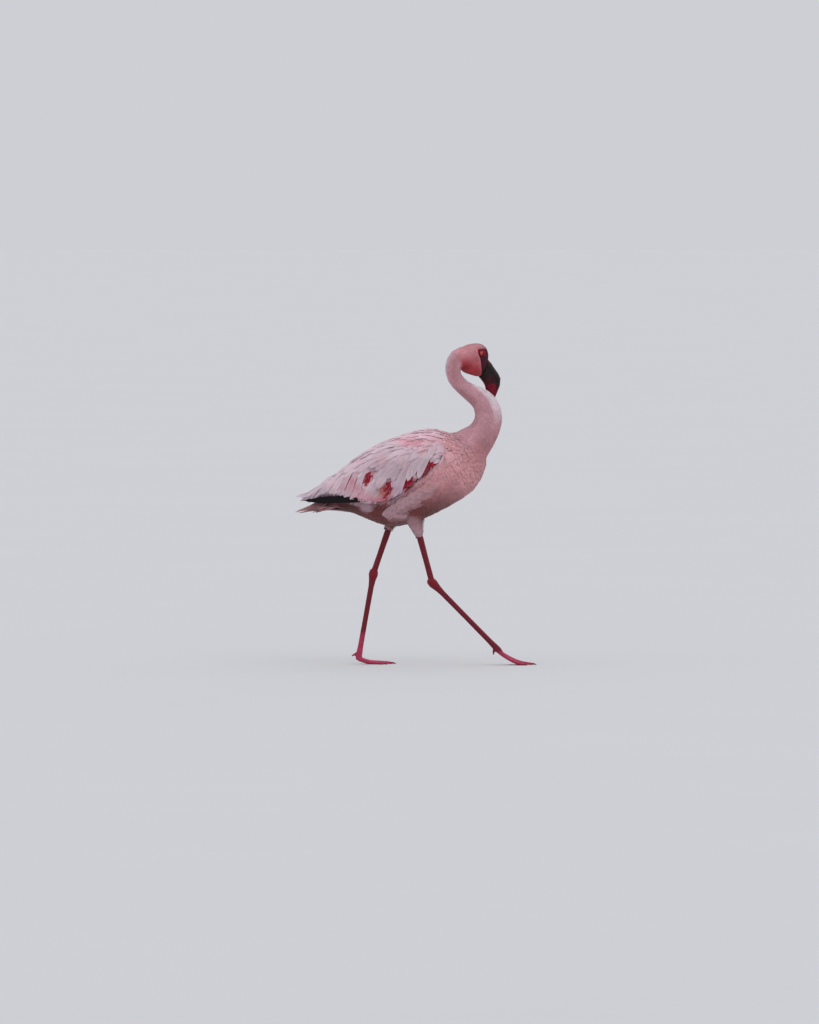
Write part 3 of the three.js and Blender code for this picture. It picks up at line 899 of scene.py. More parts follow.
def build_eye(side, colours):
    """An eyeball with a bulging clear front, a ringed iris and a round pupil."""
    way = SIDES[side]
    centre = from_head([[0, way * EYE_SIDE, 0]])[0]
    bpy.ops.object.select_all(action="DESELECT")
    bpy.ops.mesh.primitive_uv_sphere_add(segments=48, ring_count=40, radius=EYE_RADIUS * MM)
    ball = bpy.context.object
    turn = Vector((0, 0, 1)).rotation_difference(Vector(HEAD_AXES[1] * way))
    ball.data.transform(Matrix.Translation(Vector(centre)) @ turn.to_matrix().to_4x4())
    points = points_of(ball.data)
    u, v, w = in_head(points).T
    front = v * way > EYE_SIDE
    radius = np.hypot(u, w)
    bulge = EYE_BULGE * bump(0, 2.7, radius) * front
    set_points(ball.data, points + (bulge * way)[:, None] * HEAD_AXES[1] * MM)
    rays = 1 + 0.16 * np.sin(IRIS_RAYS * np.arctan2(w, u)) * step(1.6, 2.4, radius)
    iris = blend(tone(colours.iris), tone(colours.iris_rim), step(2.3, 3.7, radius))
    iris = blend(iris * rays[:, None], PUPIL_COLOUR, 1 - step(*PUPIL_EDGE, radius))
    iris = blend(iris, IRIS_EDGE_COLOUR, step(3.8, 4.4, radius))
    iris[~front] = EYE_BACK_COLOUR
    paint(ball, "markings", np.clip(iris, 0, 1))
    return finished(smooth_shaded(ball), f"eyeball_{side}", [f"eye_{side}"],
                    eye_finish())


def bill_markings(points, colours):
    """Nearly black, with a maroon keel darkened with painted shade, crimson down the sides of the
    lower half, a darker tip, and the colour of the face along the upper edge."""
    u, v, w = in_head(points).T
    base = blend(tone(colours.bill), tone(colours.bill_base),
                 step(-50, -36, w + 0.5 * (u - 12)))
    # The lower mandible's own maroon, darkened with painted shade under the bill
    base = blend(base, tone(colours.bill_maroon), step(-50, -62, w - 0.4 * u) * step(36, 14, u))
    side = np.interp(w, [-98, -87, -70, -62], [30, 26.5, 20.5, 18])
    red = bump(0, 9, u - side) * step(-63, -70, w) * step(-103, -94, w)
    base = blend(base, tone(colours.bill_crimson), np.minimum(red * 1.5, 1))
    base = blend(base, tone(colours.bill_tip), 0.85 * step(-83, -95, w))
    upper = w + 25.5 + 0.2 * (20 - u) - 7 * step(10, 5, abs(v))
    base = blend(base, tone(colours.face), step(-1.5, 1.5, upper))
    base *= (1 + 0.14 * ripple(points, 9, 3) + 0.08 * ripple(points, 3, 4))[:, None]
    return np.clip(base, 0, 1)


NOSTRIL = np.array([[25.5, -16.5], [32.5, -32.5]])  # its two ends, forward and up
RIDGE_RISE = 1.9  # how far the bill's ridge is pushed out
RING_SPACING = 3.1


def carve_bill(points, normals, upper):
    """Faint growth rings and, above, the nostrils' slits, the furrows and the raised ridge."""
    u, v, w = in_head(points).T
    cut = 0.03 * np.cos(2 * math.pi * (w + 0.35 * u) / RING_SPACING)
    if upper:
        start, end = NOSTRIL
        way = unit(end - start)
        place = np.stack([u, w], 1) - start
        along = np.clip(place @ way, 0, np.linalg.norm(end - start))
        gap = np.linalg.norm(place - along[:, None] * way, axis=1)
        cut = cut + 1.15 * bump(0, 0.85, gap) * step(2.5, 5, abs(v))
        furrow = bump(6.2, 0.9, abs(v)) * step(-20, -32, w) * step(-92, -80, w)
        cut = cut + 0.35 * furrow
        cut = cut - RIDGE_RISE * step(0.1, 0.8, normals @ HEAD_AXES[0]) * step(-18, -28, w)
    return points - normals * cut[:, None] * MM


MANDIBLES = {"bill_upper": "upper_mandible", "bill_lower": "lower_mandible"}


def build_mandible(name, colours):
    """Half of the bill, smoothed, carved and coloured."""
    piece = merged_copy(name, [name])
    modified(piece, "REMESH", mode="VOXEL", voxel_size=0.7 * MM, adaptivity=0)
    modified(piece, "SMOOTH", factor=0.5, iterations=9)
    mesh = piece.data
    points = carve_bill(points_of(mesh), normals_of(mesh), name == "bill_upper")
    set_points(mesh, points)
    paint(piece, "markings", bill_markings(points, colours))
    return finished(smooth_shaded(piece), MANDIBLES[name], [name], bill_finish())


CLAW_LENGTH, CLAW_ROOT = 8.6, 0.9  # its whole length, and how much of it is in the toe
CLAW_THICKNESS, CLAW_DROOP = 1.75, 1.5
CLAW_GROUND = 0.12  # the lowest that a claw goes


def model_claw():
    """One claw along +X from the origin, a tapering horn that droops to its point."""
    bpy.ops.object.select_all(action="DESELECT")
    bpy.ops.mesh.primitive_cylinder_add(vertices=14, radius=1, depth=1, end_fill_type="TRIFAN",
                                        rotation=(0, math.pi / 2, 0), location=(0.5, 0, 0))
    claw = bpy.context.object
    bpy.ops.object.transform_apply(location=True, rotation=True, scale=True)
    for cut in (0.15, 0.35, 0.55, 0.75, 0.9):
        edit(claw, lambda: bpy.ops.mesh.bisect(plane_co=(cut, 0, 0), plane_no=(1, 0, 0)))
    points = points_of(claw.data)
    x, y, z = np.clip(points[:, 0], 0, 1), points[:, 1], points[:, 2]
    thick = CLAW_THICKNESS * (1 - x ** 1.6 * 0.93)
    flat = 0.8 + 0.2 * (z > 0)
    drop = -CLAW_DROOP * x ** 2.2
    moved = np.stack([x * CLAW_LENGTH - CLAW_ROOT, y * thick * 0.92,
                      z * thick * flat + drop], 1)
    set_points(claw.data, moved * MM)
    claw.name = "claw"
    return claw


def build_claws():
    """A copy of the claw at the end of each front toe, in the place of its solid."""
    pattern = model_claw()
    horn = claw_finish()
    for side in SIDES:
        foot = points_of(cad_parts[f"foot_{side}"].data).mean(0)
        for toe in ("inner", "middle", "outer"):
            node = f"claw_{toe}_{side}"
            points = points_of(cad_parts[node].data)
            reach = np.linalg.norm((points - foot)[:, :2], axis=1)
            tip, root = points[reach.argmax()], points[reach < np.quantile(reach, 0.4)].mean(0)
            along = unit(tip - root)
            across = unit(np.cross([0, 0, 1], along))
            claw = pattern.copy()
            claw.data = pattern.data.copy()
            bpy.context.scene.collection.objects.link(claw)
            axes = np.array([along, across, np.cross(along, across)])
            base = points[(points - root) @ along < -0.3 * MM].mean(0)
            place = points_of(claw.data) @ axes + base
            place[:, 2] = np.maximum(place[:, 2], CLAW_GROUND * MM)
            set_points(claw.data, place)
            finished(smooth_shaded(claw), f"toe_claw_{toe}_{side}", [node], horn)
    bpy.data.objects.remove(pattern)


# ---- Feathers ----

class Vane:
    """One feather modelled along +Y: its points, its faces and its stations from root to tip."""

    def __init__(self, stations, halves, sides=4, crown=0.1, under=0.015):
        bpy.ops.object.select_all(action="DESELECT")
        bpy.ops.mesh.primitive_cylinder_add(vertices=sides, radius=1, depth=1,
                                            rotation=(-math.pi / 2, 0, 0), location=(0, 0.5, 0))
        blade = bpy.context.object
        bpy.ops.object.transform_apply(location=True, rotation=True, scale=True)
        for cut in stations[1:-1]:
            edit(blade, lambda: bpy.ops.mesh.bisect(plane_co=(0, cut, 0), plane_no=(0, 1, 0)))
        points = points_of(blade.data)
        self.stations = np.array(stations, float)
        ring = np.abs(points[:, 1:2] - self.stations[None]).argmin(1)
        half = np.array(halves)[ring]
        across = points[:, 0]
        top = points[:, 2] > 0.01
        roof = 1 - np.abs(across)
        height = np.where(top, crown * roof ** 1.3, under * roof)
        ends = (ring == 0) | (ring == len(stations) - 1)
        points[:, 0] = across * np.where(ends, 0, half)
        points[:, 2] = np.where(ends, 0, height * (0.35 + 0.65 * half))
        set_points(blade.data, points)
        edit(blade, lambda: bpy.ops.mesh.remove_doubles(threshold=1e-5),
             lambda: bpy.ops.mesh.dissolve_degenerate(),
             lambda: bpy.ops.mesh.normals_make_consistent(inside=False))
        mesh = blade.data
        points = points_of(mesh)
        self.across, self.height = points[:, 0], points[:, 2]
        self.ring = np.abs(points[:, 1:2] - self.stations[None]).argmin(1)
        self.side = self.across / np.maximum(np.array(halves)[self.ring], 1e-3)
        self.faces = [list(face.vertices) for face in mesh.polygons]
        bpy.data.objects.remove(blade)


def plume_vane():
    return Vane([0, 0.15, 0.44, 0.74, 0.93, 1], [0.2, 0.62, 1.0, 0.93, 0.54, 0])


def broad_vane():
    stations = [0, 0.05, 0.16, 0.3, 0.45, 0.6, 0.74, 0.86, 0.95, 1]
    halves = [0.15, 0.4, 0.74, 0.92, 1.0, 1.0, 0.93, 0.76, 0.46, 0]
    return Vane(stations, halves, sides=8, crown=0.07, under=0.01)


LONG_STATIONS = [0, 0.06, 0.18, 0.32, 0.46, 0.6, 0.73, 0.85, 0.94, 1]


def lance_vane():
    halves = [0.15, 0.42, 0.8, 1.0, 0.98, 0.88, 0.72, 0.5, 0.26, 0]
    return Vane(LONG_STATIONS, halves, sides=8, crown=0.09, under=0.012)


def tongue_vane():
    halves = [0.12, 0.34, 0.6, 0.8, 0.94, 1.0, 0.98, 0.82, 0.52, 0]
    return Vane(LONG_STATIONS, halves, sides=8, crown=0.07, under=0.01)


@lru_cache(maxsize=None)
def skin_surface():
    """The finished skin, with each point's coat depth and zone shares."""
    skin = bpy.data.objects["skin"]
    surface = surface_of(skin)
    names = ["coat", *ZONES]
    values = np.empty((len(surface.points), len(names)))
    for k, name in enumerate(names):
        flat = np.empty(len(surface.points), np.float32)
        skin.data.attributes[name].data.foreach_get("value", flat)
        values[:, k] = flat
    surface.values = values
    return surface


def face_shares(surface):
    """The middle of each face of the skin, and how much of each zone it is."""
    middles = surface.points[surface.triangles].mean(1)
    values = surface.values[surface.triangles].mean(1)
    return middles, dict(zip(["coat", *ZONES], values.T))


def only(shares, kept):
    """The shares of some of the places."""
    return {zone: share[kept] for zone, share in shares.items()}


CLOSE_PACKING = 0.87  # area that each root takes, of its spacing squared
TRIES = 4.2  # places tried for each root that could fit
ROOT_ROOM = 0.88  # least distance between two roots, of their spacing


def scatter(surface, wanted, spacing, seed):
    """Roots over the wanted faces, no two nearer than the spacing there, in millimetres."""
    rng = np.random.default_rng(seed)
    corners = surface.points[surface.triangles]
    area = np.linalg.norm(np.cross(corners[:, 1] - corners[:, 0],
                                   corners[:, 2] - corners[:, 0]), axis=1) / 2 / MM**2
    weight = np.where(wanted, area / (CLOSE_PACKING * spacing**2), 0)
    count = int(weight.sum() * TRIES)
    face = rng.choice(len(weight), count, p=weight / weight.sum())
    a, b = rng.random(count), rng.random(count)
    a, b = np.where(a + b > 1, 1 - a, a), np.where(a + b > 1, 1 - b, b)
    c = corners[face]
    spots = c[:, 0] + (c[:, 1] - c[:, 0]) * a[:, None] + (c[:, 2] - c[:, 0]) * b[:, None]
    room = spacing[face] * ROOT_ROOM
    cell = room.max()
    cells = np.floor(spots / MM / cell).astype(int).tolist()
    places = (spots / MM).tolist()
    grid, kept = {}, []
    around = [(i, j, k) for i in (-1, 0, 1) for j in (-1, 0, 1) for k in (-1, 0, 1)]
    for i, ((cx, cy, cz), (x, y, z), gap) in enumerate(zip(cells, places, room.tolist())):
        crowded = any((px - x) ** 2 + (py - y) ** 2 + (pz - z) ** 2 < gap * gap
                      for dx, dy, dz in around
                      for px, py, pz in grid.get((cx + dx, cy + dy, cz + dz), ()))
        if not crowded:
            grid.setdefault((cx, cy, cz), []).append((x, y, z))
            kept.append(i)
    return spots[kept], face[kept]


LIE_BLEND = 120  # how softly the lie changes between its places
LIE_TABLE = np.array(LIE, float)
LIE_WAYS = np.stack([-np.cos(np.radians(LIE_TABLE[:, 2])), -np.sin(np.radians(LIE_TABLE[:, 2]))], 1)


def lie(points, normals, thigh):
    """Which way the coat lies at each point of the skin, along its surface."""
    p = drawing(points)
    gap = (p[:, None, 0] - LIE_TABLE[:, 0]) ** 2 + (p[:, None, 2] - LIE_TABLE[:, 1]) ** 2
    weight = 1 / (gap + LIE_BLEND) ** 2
    flat = weight @ LIE_WAYS / weight.sum(1)[:, None]
    body = unit(np.stack([flat[:, 0], 0 * flat[:, 0], flat[:, 1]], 1))
    neck = near_spine(points)[1]
    on_neck = step(432, 470, p[:, 2] + 0.35 * (p[:, 0] - 118)) * step(62, 95, p[:, 0])
    way = body + (neck - body) * on_neck[:, None]
    for side, sign in SIDES.items():
        top, low = leg_ends(side)
        down = unit(low - top)
        share = thigh * (p[:, 1] * sign > 0)
        way = way + (down - way) * share[:, None]
    return flattened(way, normals)


def flattened(ways, normals):
    """Ways laid down along the surface under them."""
    return unit(ways - normals * (ways * normals).sum(1)[:, None])


def drape(surface, roots, ways, lengths, stations, lift, follow):
    """Walks each feather over the surface: its spine and the normals under it."""
    spots, normals, _ = surface.nearest(roots)
    ways = flattened(ways, normals)
    spines, overs = [spots], [normals]
    for before, after in zip(stations, stations[1:]):
        ahead = ((after - before) * lengths * MM)[:, None]
        spots, normals, _ = surface.nearest(spots + ways * ahead)
        field = lie(spots, normals, np.zeros(len(spots))) if follow else ways
        ways = flattened(ways * (1 - follow) + field * follow, normals)
        spines.append(spots)
        overs.append(normals)
    spines, overs = np.stack(spines, 1), np.stack(overs, 1)
    return spines + overs * lift(np.asarray(stations))[..., None] * MM, overs


def turned(ways, normals, angles):
    """Ways turned on the surface, each by its own angle."""
    side = np.cross(normals, ways)
    return ways * np.cos(angles)[:, None] + side * np.sin(angles)[:, None]


def skin_unwrap(points):
    """Where each place of the skin lies on a flat plan of it, rolled open along the spine."""
    share, _, back, left = near_spine(points)
    around = np.arctan2(left, -back) / (2 * math.pi)
    return np.stack([0.03 + 0.94 * share / SPINE_SHARE[-1], 0.5 + 0.96 * around], 1)


TUFT_PATCH = 0.003  # side of the patch that each feather has on the flat plan
FEATHER_CREASE = math.radians(70)  # sharper edges than this stay sharp


def joined_vanes(vane, spines, overs, widths, roots_flat, colours, thick=1.0):
    """One piece from many copies of a vane, each bent along its own spine."""
    count, verts = len(spines), len(vane.ring)
    along = unit(np.gradient(spines, axis=1))
    side = unit(np.cross(along, overs))
    up = np.cross(side, along)
    half = (widths / 2 * MM)[:, None, None]
    points = (spines[:, vane.ring] + side[:, vane.ring] * vane.across[None, :, None] * half
              + up[:, vane.ring] * vane.height[None, :, None] * 2 * half * thick)
    mesh = bpy.data.meshes.new("feathers")
    mesh.vertices.add(count * verts)
    mesh.vertices.foreach_set("co", points.astype(np.float32).ravel())
    corners = np.array([len(face) for face in vane.faces])
    loops = np.concatenate(vane.faces)
    all_loops = (loops[None] + (np.arange(count) * verts)[:, None]).ravel()
    starts = np.concatenate([[0], np.cumsum(corners)[:-1]])
    all_starts = (starts[None] + (np.arange(count) * len(loops))[:, None]).ravel()
    mesh.loops.add(len(all_loops))
    mesh.loops.foreach_set("vertex_index", all_loops.astype(np.int32))
    mesh.polygons.add(len(all_starts))
    mesh.polygons.foreach_set("loop_start", all_starts.astype(np.int32))
    mesh.update(calc_edges=True)
    mesh.validate()
    obj = bpy.data.objects.new("feathers", mesh)
    bpy.context.scene.collection.objects.link(obj)

    place = np.stack([0.5 + 0.5 * vane.side, vane.stations[vane.ring]], 1)
    patch = roots_flat[:, None] + (place - 0.5)[None] * TUFT_PATCH
    for title, flat in (("vane", np.tile(place, (count, 1))), ("OFBake", patch.reshape(-1, 2))):
        layer = mesh.uv_layers.new(name=title)
        layer.data.foreach_set("uv", flat[all_loops].astype(np.float32).ravel())
    paint(obj, "markings", colours[:, vane.ring].reshape(-1, 3))
    pick(obj)
    bpy.ops.object.shade_smooth_by_angle(angle=FEATHER_CREASE)
    return obj


def shaded(colours, seed, spread=0.06):
    """Each feather a little lighter or darker than its neighbours at random, with painted shade at
    its root, where the feathers above cover it, easing to slightly lighter at its tip.
    """
    rng = np.random.default_rng(seed)
    each = 1 + spread * rng.normal(size=(len(colours), 1, 1))
    # Painted shade at the root, under the feathers above
    rise = np.linspace(0.9, 1.04, colours.shape[1])[None, :, None]
    return np.clip(colours * each * rise, 0, 1)


def colours_along(spines, shares, colours, red=None):
    """The markings under each station of each feather; crimson is for whole feathers."""
    count, stations = spines.shape[:2]
    red = crimson(spines[:, stations // 2]) if red is None else np.full(count, float(red))
    flat = {zone: np.repeat(share, stations) for zone, share in shares.items()}
    return markings(spines.reshape(-1, 3), flat, colours,
                    np.repeat(red, stations)).reshape(spines.shape)


def colours_in(zone, spines, colours, red=None):
    """The markings along feathers that lie wholly in one zone."""
    whole = np.ones(spines.shape[0] * spines.shape[1])
    shares = {each: whole * (each == zone) for each in ZONES}
    return markings(spines.reshape(-1, 3), shares, colours, red).reshape(spines.shape)


SHORTEST_FEATHER = 9  # a feather cut shorter than this is left out
ROOT_DEPTH = 0.25  # how far a feather's root is sunk in the skin
COAT_FILLED = 0.9  # how much of the coat's depth the tips of the feathers reach


def plume_tract(name, chosen, length, width, spacing, seed, finish, vane=None,
                follow=0.5, jitter=6.0, thick=1.0, unwrap=skin_unwrap, limit=None):
    """Contour feathers over part of the skin. chosen, length, width and spacing are functions of
    the places and their zone shares, and limit of the places and ways; lengths are in
    millimetres."""
    surface = skin_surface()
    vane = vane or plume_vane()
    middles, shares = face_shares(surface)
    roots, faces = scatter(surface, chosen(middles, shares), spacing(middles, shares), seed)
    rng = np.random.default_rng(seed + 1)
    shares = only(shares, faces)
    _, normals, _ = surface.nearest(roots)
    ways = lie(roots, normals, shares["thigh"] + shares["shin"])
    ways = turned(ways, normals, np.radians(rng.normal(0, jitter, len(roots))))
    lengths = length(roots, shares) * rng.uniform(0.86, 1.12, len(roots))
    widths = width(roots, shares) * rng.uniform(0.9, 1.12, len(roots))
    room = shares["coat"] * COAT_FILLED * rng.uniform(0.92, 1.03, len(roots))
    if limit:
        lengths = np.minimum(lengths, limit(roots, ways))
        kept = lengths > SHORTEST_FEATHER
        roots, ways, lengths, widths, room = (
            a[kept] for a in (roots, ways, lengths, widths, room))
        shares = only(shares, kept)

    def lift(t):
        return -ROOT_DEPTH + (room[:, None] + ROOT_DEPTH) * t[None] ** 0.7

    on_leg = shares["thigh"] + shares["shin"] > 0.5
    spines, overs = drape(surface, roots, ways, lengths, vane.stations, lift,
                          0 if on_leg.all() else follow)
    colour = shaded(colours_along(spines, shares, bpy.context.scene.flamingo_colours), seed + 2)
    obj = joined_vanes(vane, spines, overs, widths, unwrap(roots), colour, thick)
    return finished(obj, name, (), finish)


# ---- The tracts of plumage ----

HEAD_END = 92  # how far along the spine the head's feathers give way to the neck's


def eye_gap(points):
    """How far each place is from the eye on its side; more on the crown."""
    u, v, w = in_head(points).T
    return np.hypot(u, w) + np.where(abs(v) < 9, 30, 0)


def head_plumage(sizes):
    def grown(points):
        return step(-4, -40, in_head(points)[:, 0]) * 0.5 + step(4, 26, eye_gap(points)) * 0.5

    return plume_tract(
        "head_plumage",
        chosen=lambda p, s: ((near_spine(p)[0] < HEAD_END) & (s["head"] + s["neck"] > 0.5)
                             & (bare_face(p) < 0.35) & (eye_gap(p) > 6.8)),
        length=lambda p, s: sizes.head_length / MM * (0.42 + 0.58 * grown(p)),
        width=lambda p, s: sizes.head_width / MM * (0.62 + 0.38 * grown(p)),
        spacing=lambda p, s: sizes.head_spacing / MM * (0.72 + 0.28 * grown(p)),
        seed=21, finish=plumage_finish("head feathers", 14, 0.06), follow=0.7, jitter=7, thick=0.6)


def neck_plumage(sizes):
    def grown(points):
        return step(90, 330, near_spine(points)[0])

    return plume_tract(
        "neck_plumage",
        chosen=lambda p, s: (near_spine(p)[0] >= HEAD_END) & (s["neck"] > 0.5),
        length=lambda p, s: sizes.neck_length / MM * (0.6 + 0.6 * grown(p)),
        width=lambda p, s: sizes.neck_width / MM * (0.66 + 0.6 * grown(p)),
        spacing=lambda p, s: sizes.neck_spacing / MM * (0.74 + 0.5 * grown(p)),
        seed=31, finish=plumage_finish("neck feathers", 14, 0.08), follow=0.7, thick=0.55)


def body_plumage(sizes):
    def grown(points):
        return step(0, 34, zone_surface("neck").nearest(points)[2] / MM)

    return plume_tract(
        "body_plumage",
        chosen=lambda p, s: (s["body"] > 0.5) & (s["thigh"] < 0.4),
        length=lambda p, s: (sizes.body_length / MM * (1 - 0.3 * step(0.1, 0.5, s["thigh"]))
                             * (0.74 + 0.26 * grown(p))),
        width=lambda p, s: sizes.body_width / MM * (0.6 + 0.4 * grown(p)),
        spacing=lambda p, s: sizes.body_spacing / MM * (0.7 + 0.3 * grown(p)),
        seed=41, finish=plumage_finish("body feathers", 16, 0.12), follow=0.6, thick=0.6)


def leg_unwrap(points):
    """A flat plan of the two thighs, side by side."""
    p = drawing(points)
    flat = np.empty((len(p), 2))
    for side, sign in SIDES.items():
        near = p[:, 1] * sign > 0
        top, low = (drawing(end) for end in leg_ends(side))
        share = (p - top) @ (low - top) / ((low - top) @ (low - top))
        middle = top + share[:, None] * (low - top)
        around = np.arctan2(p[:, 1] - middle[:, 1], p[:, 0] - middle[:, 0]) / (2 * math.pi)
        place = np.stack([0.25 + 0.25 * sign + 0.5 * (0.5 + 0.94 * around),
                          0.1 + 0.7 * np.clip(share + 0.1, 0, 1.1)], 1)
        flat[near] = place[near]
    return flat


def thigh_plumage(sizes):
    return plume_tract(
        "thigh_plumage",
        chosen=lambda p, s: (s["thigh"] >= 0.4) | ((s["shin"] > 0.5) & (coated_shin(p) > 0.8)),
        length=lambda p, s: sizes.thigh_length / MM * (1 - 0.5 * s["shin"]),
        width=lambda p, s: sizes.thigh_width / MM * (1 - 0.45 * s["shin"]),
        spacing=lambda p, s: sizes.thigh_spacing / MM * (1 - 0.4 * s["shin"]),
        seed=51, finish=plumage_finish("thigh feathers", 14, 0.1), unwrap=leg_unwrap)


COVERTS_END = -207  # no covert runs further back than this
TAIL_COVERTS_END = -190


def wing_coverts(sizes):
    def grown(points):
        return 0.85 + 0.5 * step(40, -150, drawing(points)[:, 0])

    return plume_tract(
        "wing_coverts",
        chosen=lambda p, s: s["wing"] >= 0.45,
        length=lambda p, s: sizes.covert_length / MM * grown(p),
        width=lambda p, s: sizes.covert_width / MM * np.ones(len(p)),
        spacing=lambda p, s: sizes.covert_spacing / MM * np.ones(len(p)),
        seed=61, vane=Vane([0, 0.1, 0.3, 0.55, 0.8, 1], [0.2, 0.6, 0.95, 1.0, 0.7, 0]),
        finish=plumage_finish("wing coverts", 20, 0.16), follow=0.6,
        limit=lambda p, way: np.minimum(
            beside_edge(p, way, -5 + 8 * step(-20, 20, drawing(p)[:, 0]), 40),
            drawing(p)[:, 0] - COVERTS_END))


EDGE_STEP = 4.0  # how closely a feather's way is followed to the edge


def beside_edge(points, ways, overhang, longest):
    """How far each feather can run along its way before it leaves the wing's lower edge."""
    edge = np.array(WING_EDGE, float)
    p, way = drawing(points)[:, [0, 2]], ways[:, [0, 2]]
    far = np.full(len(p), float(longest))
    for run in np.arange(longest, 0, -EDGE_STEP):
        spot = p + way * run
        below = np.interp(spot[:, 0], edge[:, 0], edge[:, 1]) > spot[:, 1]
        far = np.where(below | (spot[:, 0] < edge[0, 0]), run, far)
    return np.clip(far + overhang, 0, longest)


SHOULDER_END = -168  # the rearmost roots of the shoulder feathers
SHOULDER_RISE = 1.2  # how far above the skin a shoulder feather starts


def shoulder_feathers(sizes):
    """Long pale feathers that run over the coverts, and stop short where crimson shows."""
    surface, vane = skin_surface(), lance_vane()
    middles, shares = face_shares(surface)
    wanted = (shares["wing"] > 0.5) & (drawing(middles)[:, 0] > SHOULDER_END)
    spacing = np.full(len(middles), sizes.shoulder_spacing / MM)
    roots, faces = scatter(surface, wanted, spacing, 71)
    rng = np.random.default_rng(72)
    shares = only(shares, faces)
    _, normals, _ = surface.nearest(roots)
    ways = turned(lie(roots, normals, np.zeros(len(roots))), normals,
                  np.radians(rng.normal(0, 4, len(roots))))
    longest = sizes.shoulder_length / MM * (0.55 + 0.45 * step(60, -40, drawing(roots)[:, 0]))
    lengths = np.minimum(beside_edge(roots, ways, -2, sizes.shoulder_length / MM), longest)
    lengths *= rng.uniform(0.85, 1.08, len(roots))
    room = shares["coat"] + rng.uniform(0.1, 1.1, len(roots))

    def laid(roots, ways, lengths, room):
        def lift(t):
            return SHOULDER_RISE + (room[:, None] - SHOULDER_RISE) * t[None] ** 0.6

        return drape(surface, roots, ways, lengths, vane.stations, lift, 0.45)

    # A feather ends just before the first station where it, or one of its edges, covers crimson.
    spines, overs = laid(roots, ways, lengths, room)
    sides = np.cross(unit(np.gradient(spines, axis=1)), overs) * sizes.shoulder_width * 0.32
    red = np.max([crimson((spines + sides * k).reshape(-1, 3)) for k in (-1, 0, 1)], 0)
    covers = red.reshape(spines.shape[:2]) > 0.4
    last = len(vane.stations) - 1
    hit = np.where(covers.any(1), covers.argmax(1), last + 1)
    cut = np.where(hit > last, 1, vane.stations[np.minimum(hit, last)] * 0.97)
    clear = (hit > 2) & (lengths * cut > SHORTEST_FEATHER)
    roots, ways, lengths, room = roots[clear], ways[clear], (lengths * cut)[clear], room[clear]
    spines, overs = laid(roots, ways, lengths, room)

    widths = np.minimum(sizes.shoulder_width / MM, lengths * 0.3) * rng.uniform(
        0.85, 1.15, len(roots))
    colours = bpy.context.scene.flamingo_colours
    colour = colours_along(spines, only(shares, clear), colours, 0)
    pale = rng.uniform(0, 0.35, (len(roots), 1, 1)) * np.linspace(0.3, 1, last + 1)[:, None]
    colour = colour + (tone(colours.wing) * 1.1 - colour) * pale
    obj = joined_vanes(vane, spines, overs, widths, skin_unwrap(roots), shaded(colour, 73, 0.05))
    return finished(obj, "shoulder_feathers", (),
                    plumage_finish("shoulder feathers", 26, 0.3))


@lru_cache(maxsize=None)
def outer_surface(*nodes):
    """The outside of some of the solids, to lay long feathers on."""
    parts = [zone_surface(node) for node in nodes]
    starts = np.cumsum([0] + [len(part.points) for part in parts[:-1]])
    return Surface(np.vstack([part.points for part in parts]),
                   np.vstack([part.triangles + start for part, start in zip(parts, starts)]),
                   np.vstack([part.normals for part in parts]))


RUN_UP = 0.2  # how far behind a point its move starts, in metres


def laid_from(surface, places, way):
    """Points given in the drawing, moved along a way until they meet the surface."""
    spots = in_frame(places)
    faces = np.empty(len(spots), int)
    back = np.array(way) * RUN_UP
    for i, spot in enumerate(spots):
        hit, _, face, _ = surface.tree.ray_cast(Vector(spot - back), Vector(way))
        if hit is None:
            hit, _, face, _ = surface.tree.find_nearest(Vector(spot))
        spots[i], faces[i] = hit, face
    return spots, surface.normals_at(spots, faces)


def laid_on_side(surface, line, sign):
    """A line drawn in the side view, moved inwards from one side until it meets the surface."""
    places = np.column_stack([line[:, 0], 0 * line[:, 0], line[:, 1]])
    return laid_from(surface, places, (0, -sign, 0))


def curved(root, tip, sag, stations):
    """A line from root to tip in the side view that bows downwards by a share of its length."""
    root, tip = np.array(root, float), np.array(tip, float)
    t = np.asarray(stations)[:, None]
    span = tip - root
    side = np.array([span[1], -span[0]])
    side = side if side[1] > 0 else -side
    return root + span * t + side * sag * 4 * t * (1 - t)


def spread_line(values, rounds):
    """Values along a line, evened out between neighbours; its ends stay."""
    values = np.array(values, float)
    for _ in range(rounds):
        values[1:-1] = (values[:-2] + 2 * values[1:-1] + values[2:]) / 4
    return values


def lifted(spots, over, rise, rounds):
    """A feather's spine: its line on the surface, evened out and raised by millimetres."""
    return spread_line(spots, rounds) + over * rise[:, None] * MM


# The tongues that hang over the wing's lower edge, each from its root to its tip, and its width.
TONGUES = [
    ((60, 448), (34, 408), 11), ((48, 432), (16, 374), 14), ((30, 424), (3, 377), 12),
    ((20, 418), (-5, 369), 13), ((5, 412), (-28, 330), 17), ((-18, 412), (-64, 352), 12),
    ((-28, 414), (-68, 354), 11), ((-84, 402), (-108, 324), 13), ((-98, 398), (-125, 330), 14),
    ((-112, 392), (-143, 330), 14), ((-126, 386), (-156, 335), 13), ((-118, 400), (-168, 345), 11),
    ((-138, 384), (-181, 333), 12), ((-150, 376), (-193, 324), 12), ((-164, 366), (-206, 326), 11),
    ((-150, 380), (-214, 338), 11), ((-172, 356), (-219, 322), 9), ((-176, 358), (-228, 334), 9),
    ((-166, 368), (-222, 338), 9)]


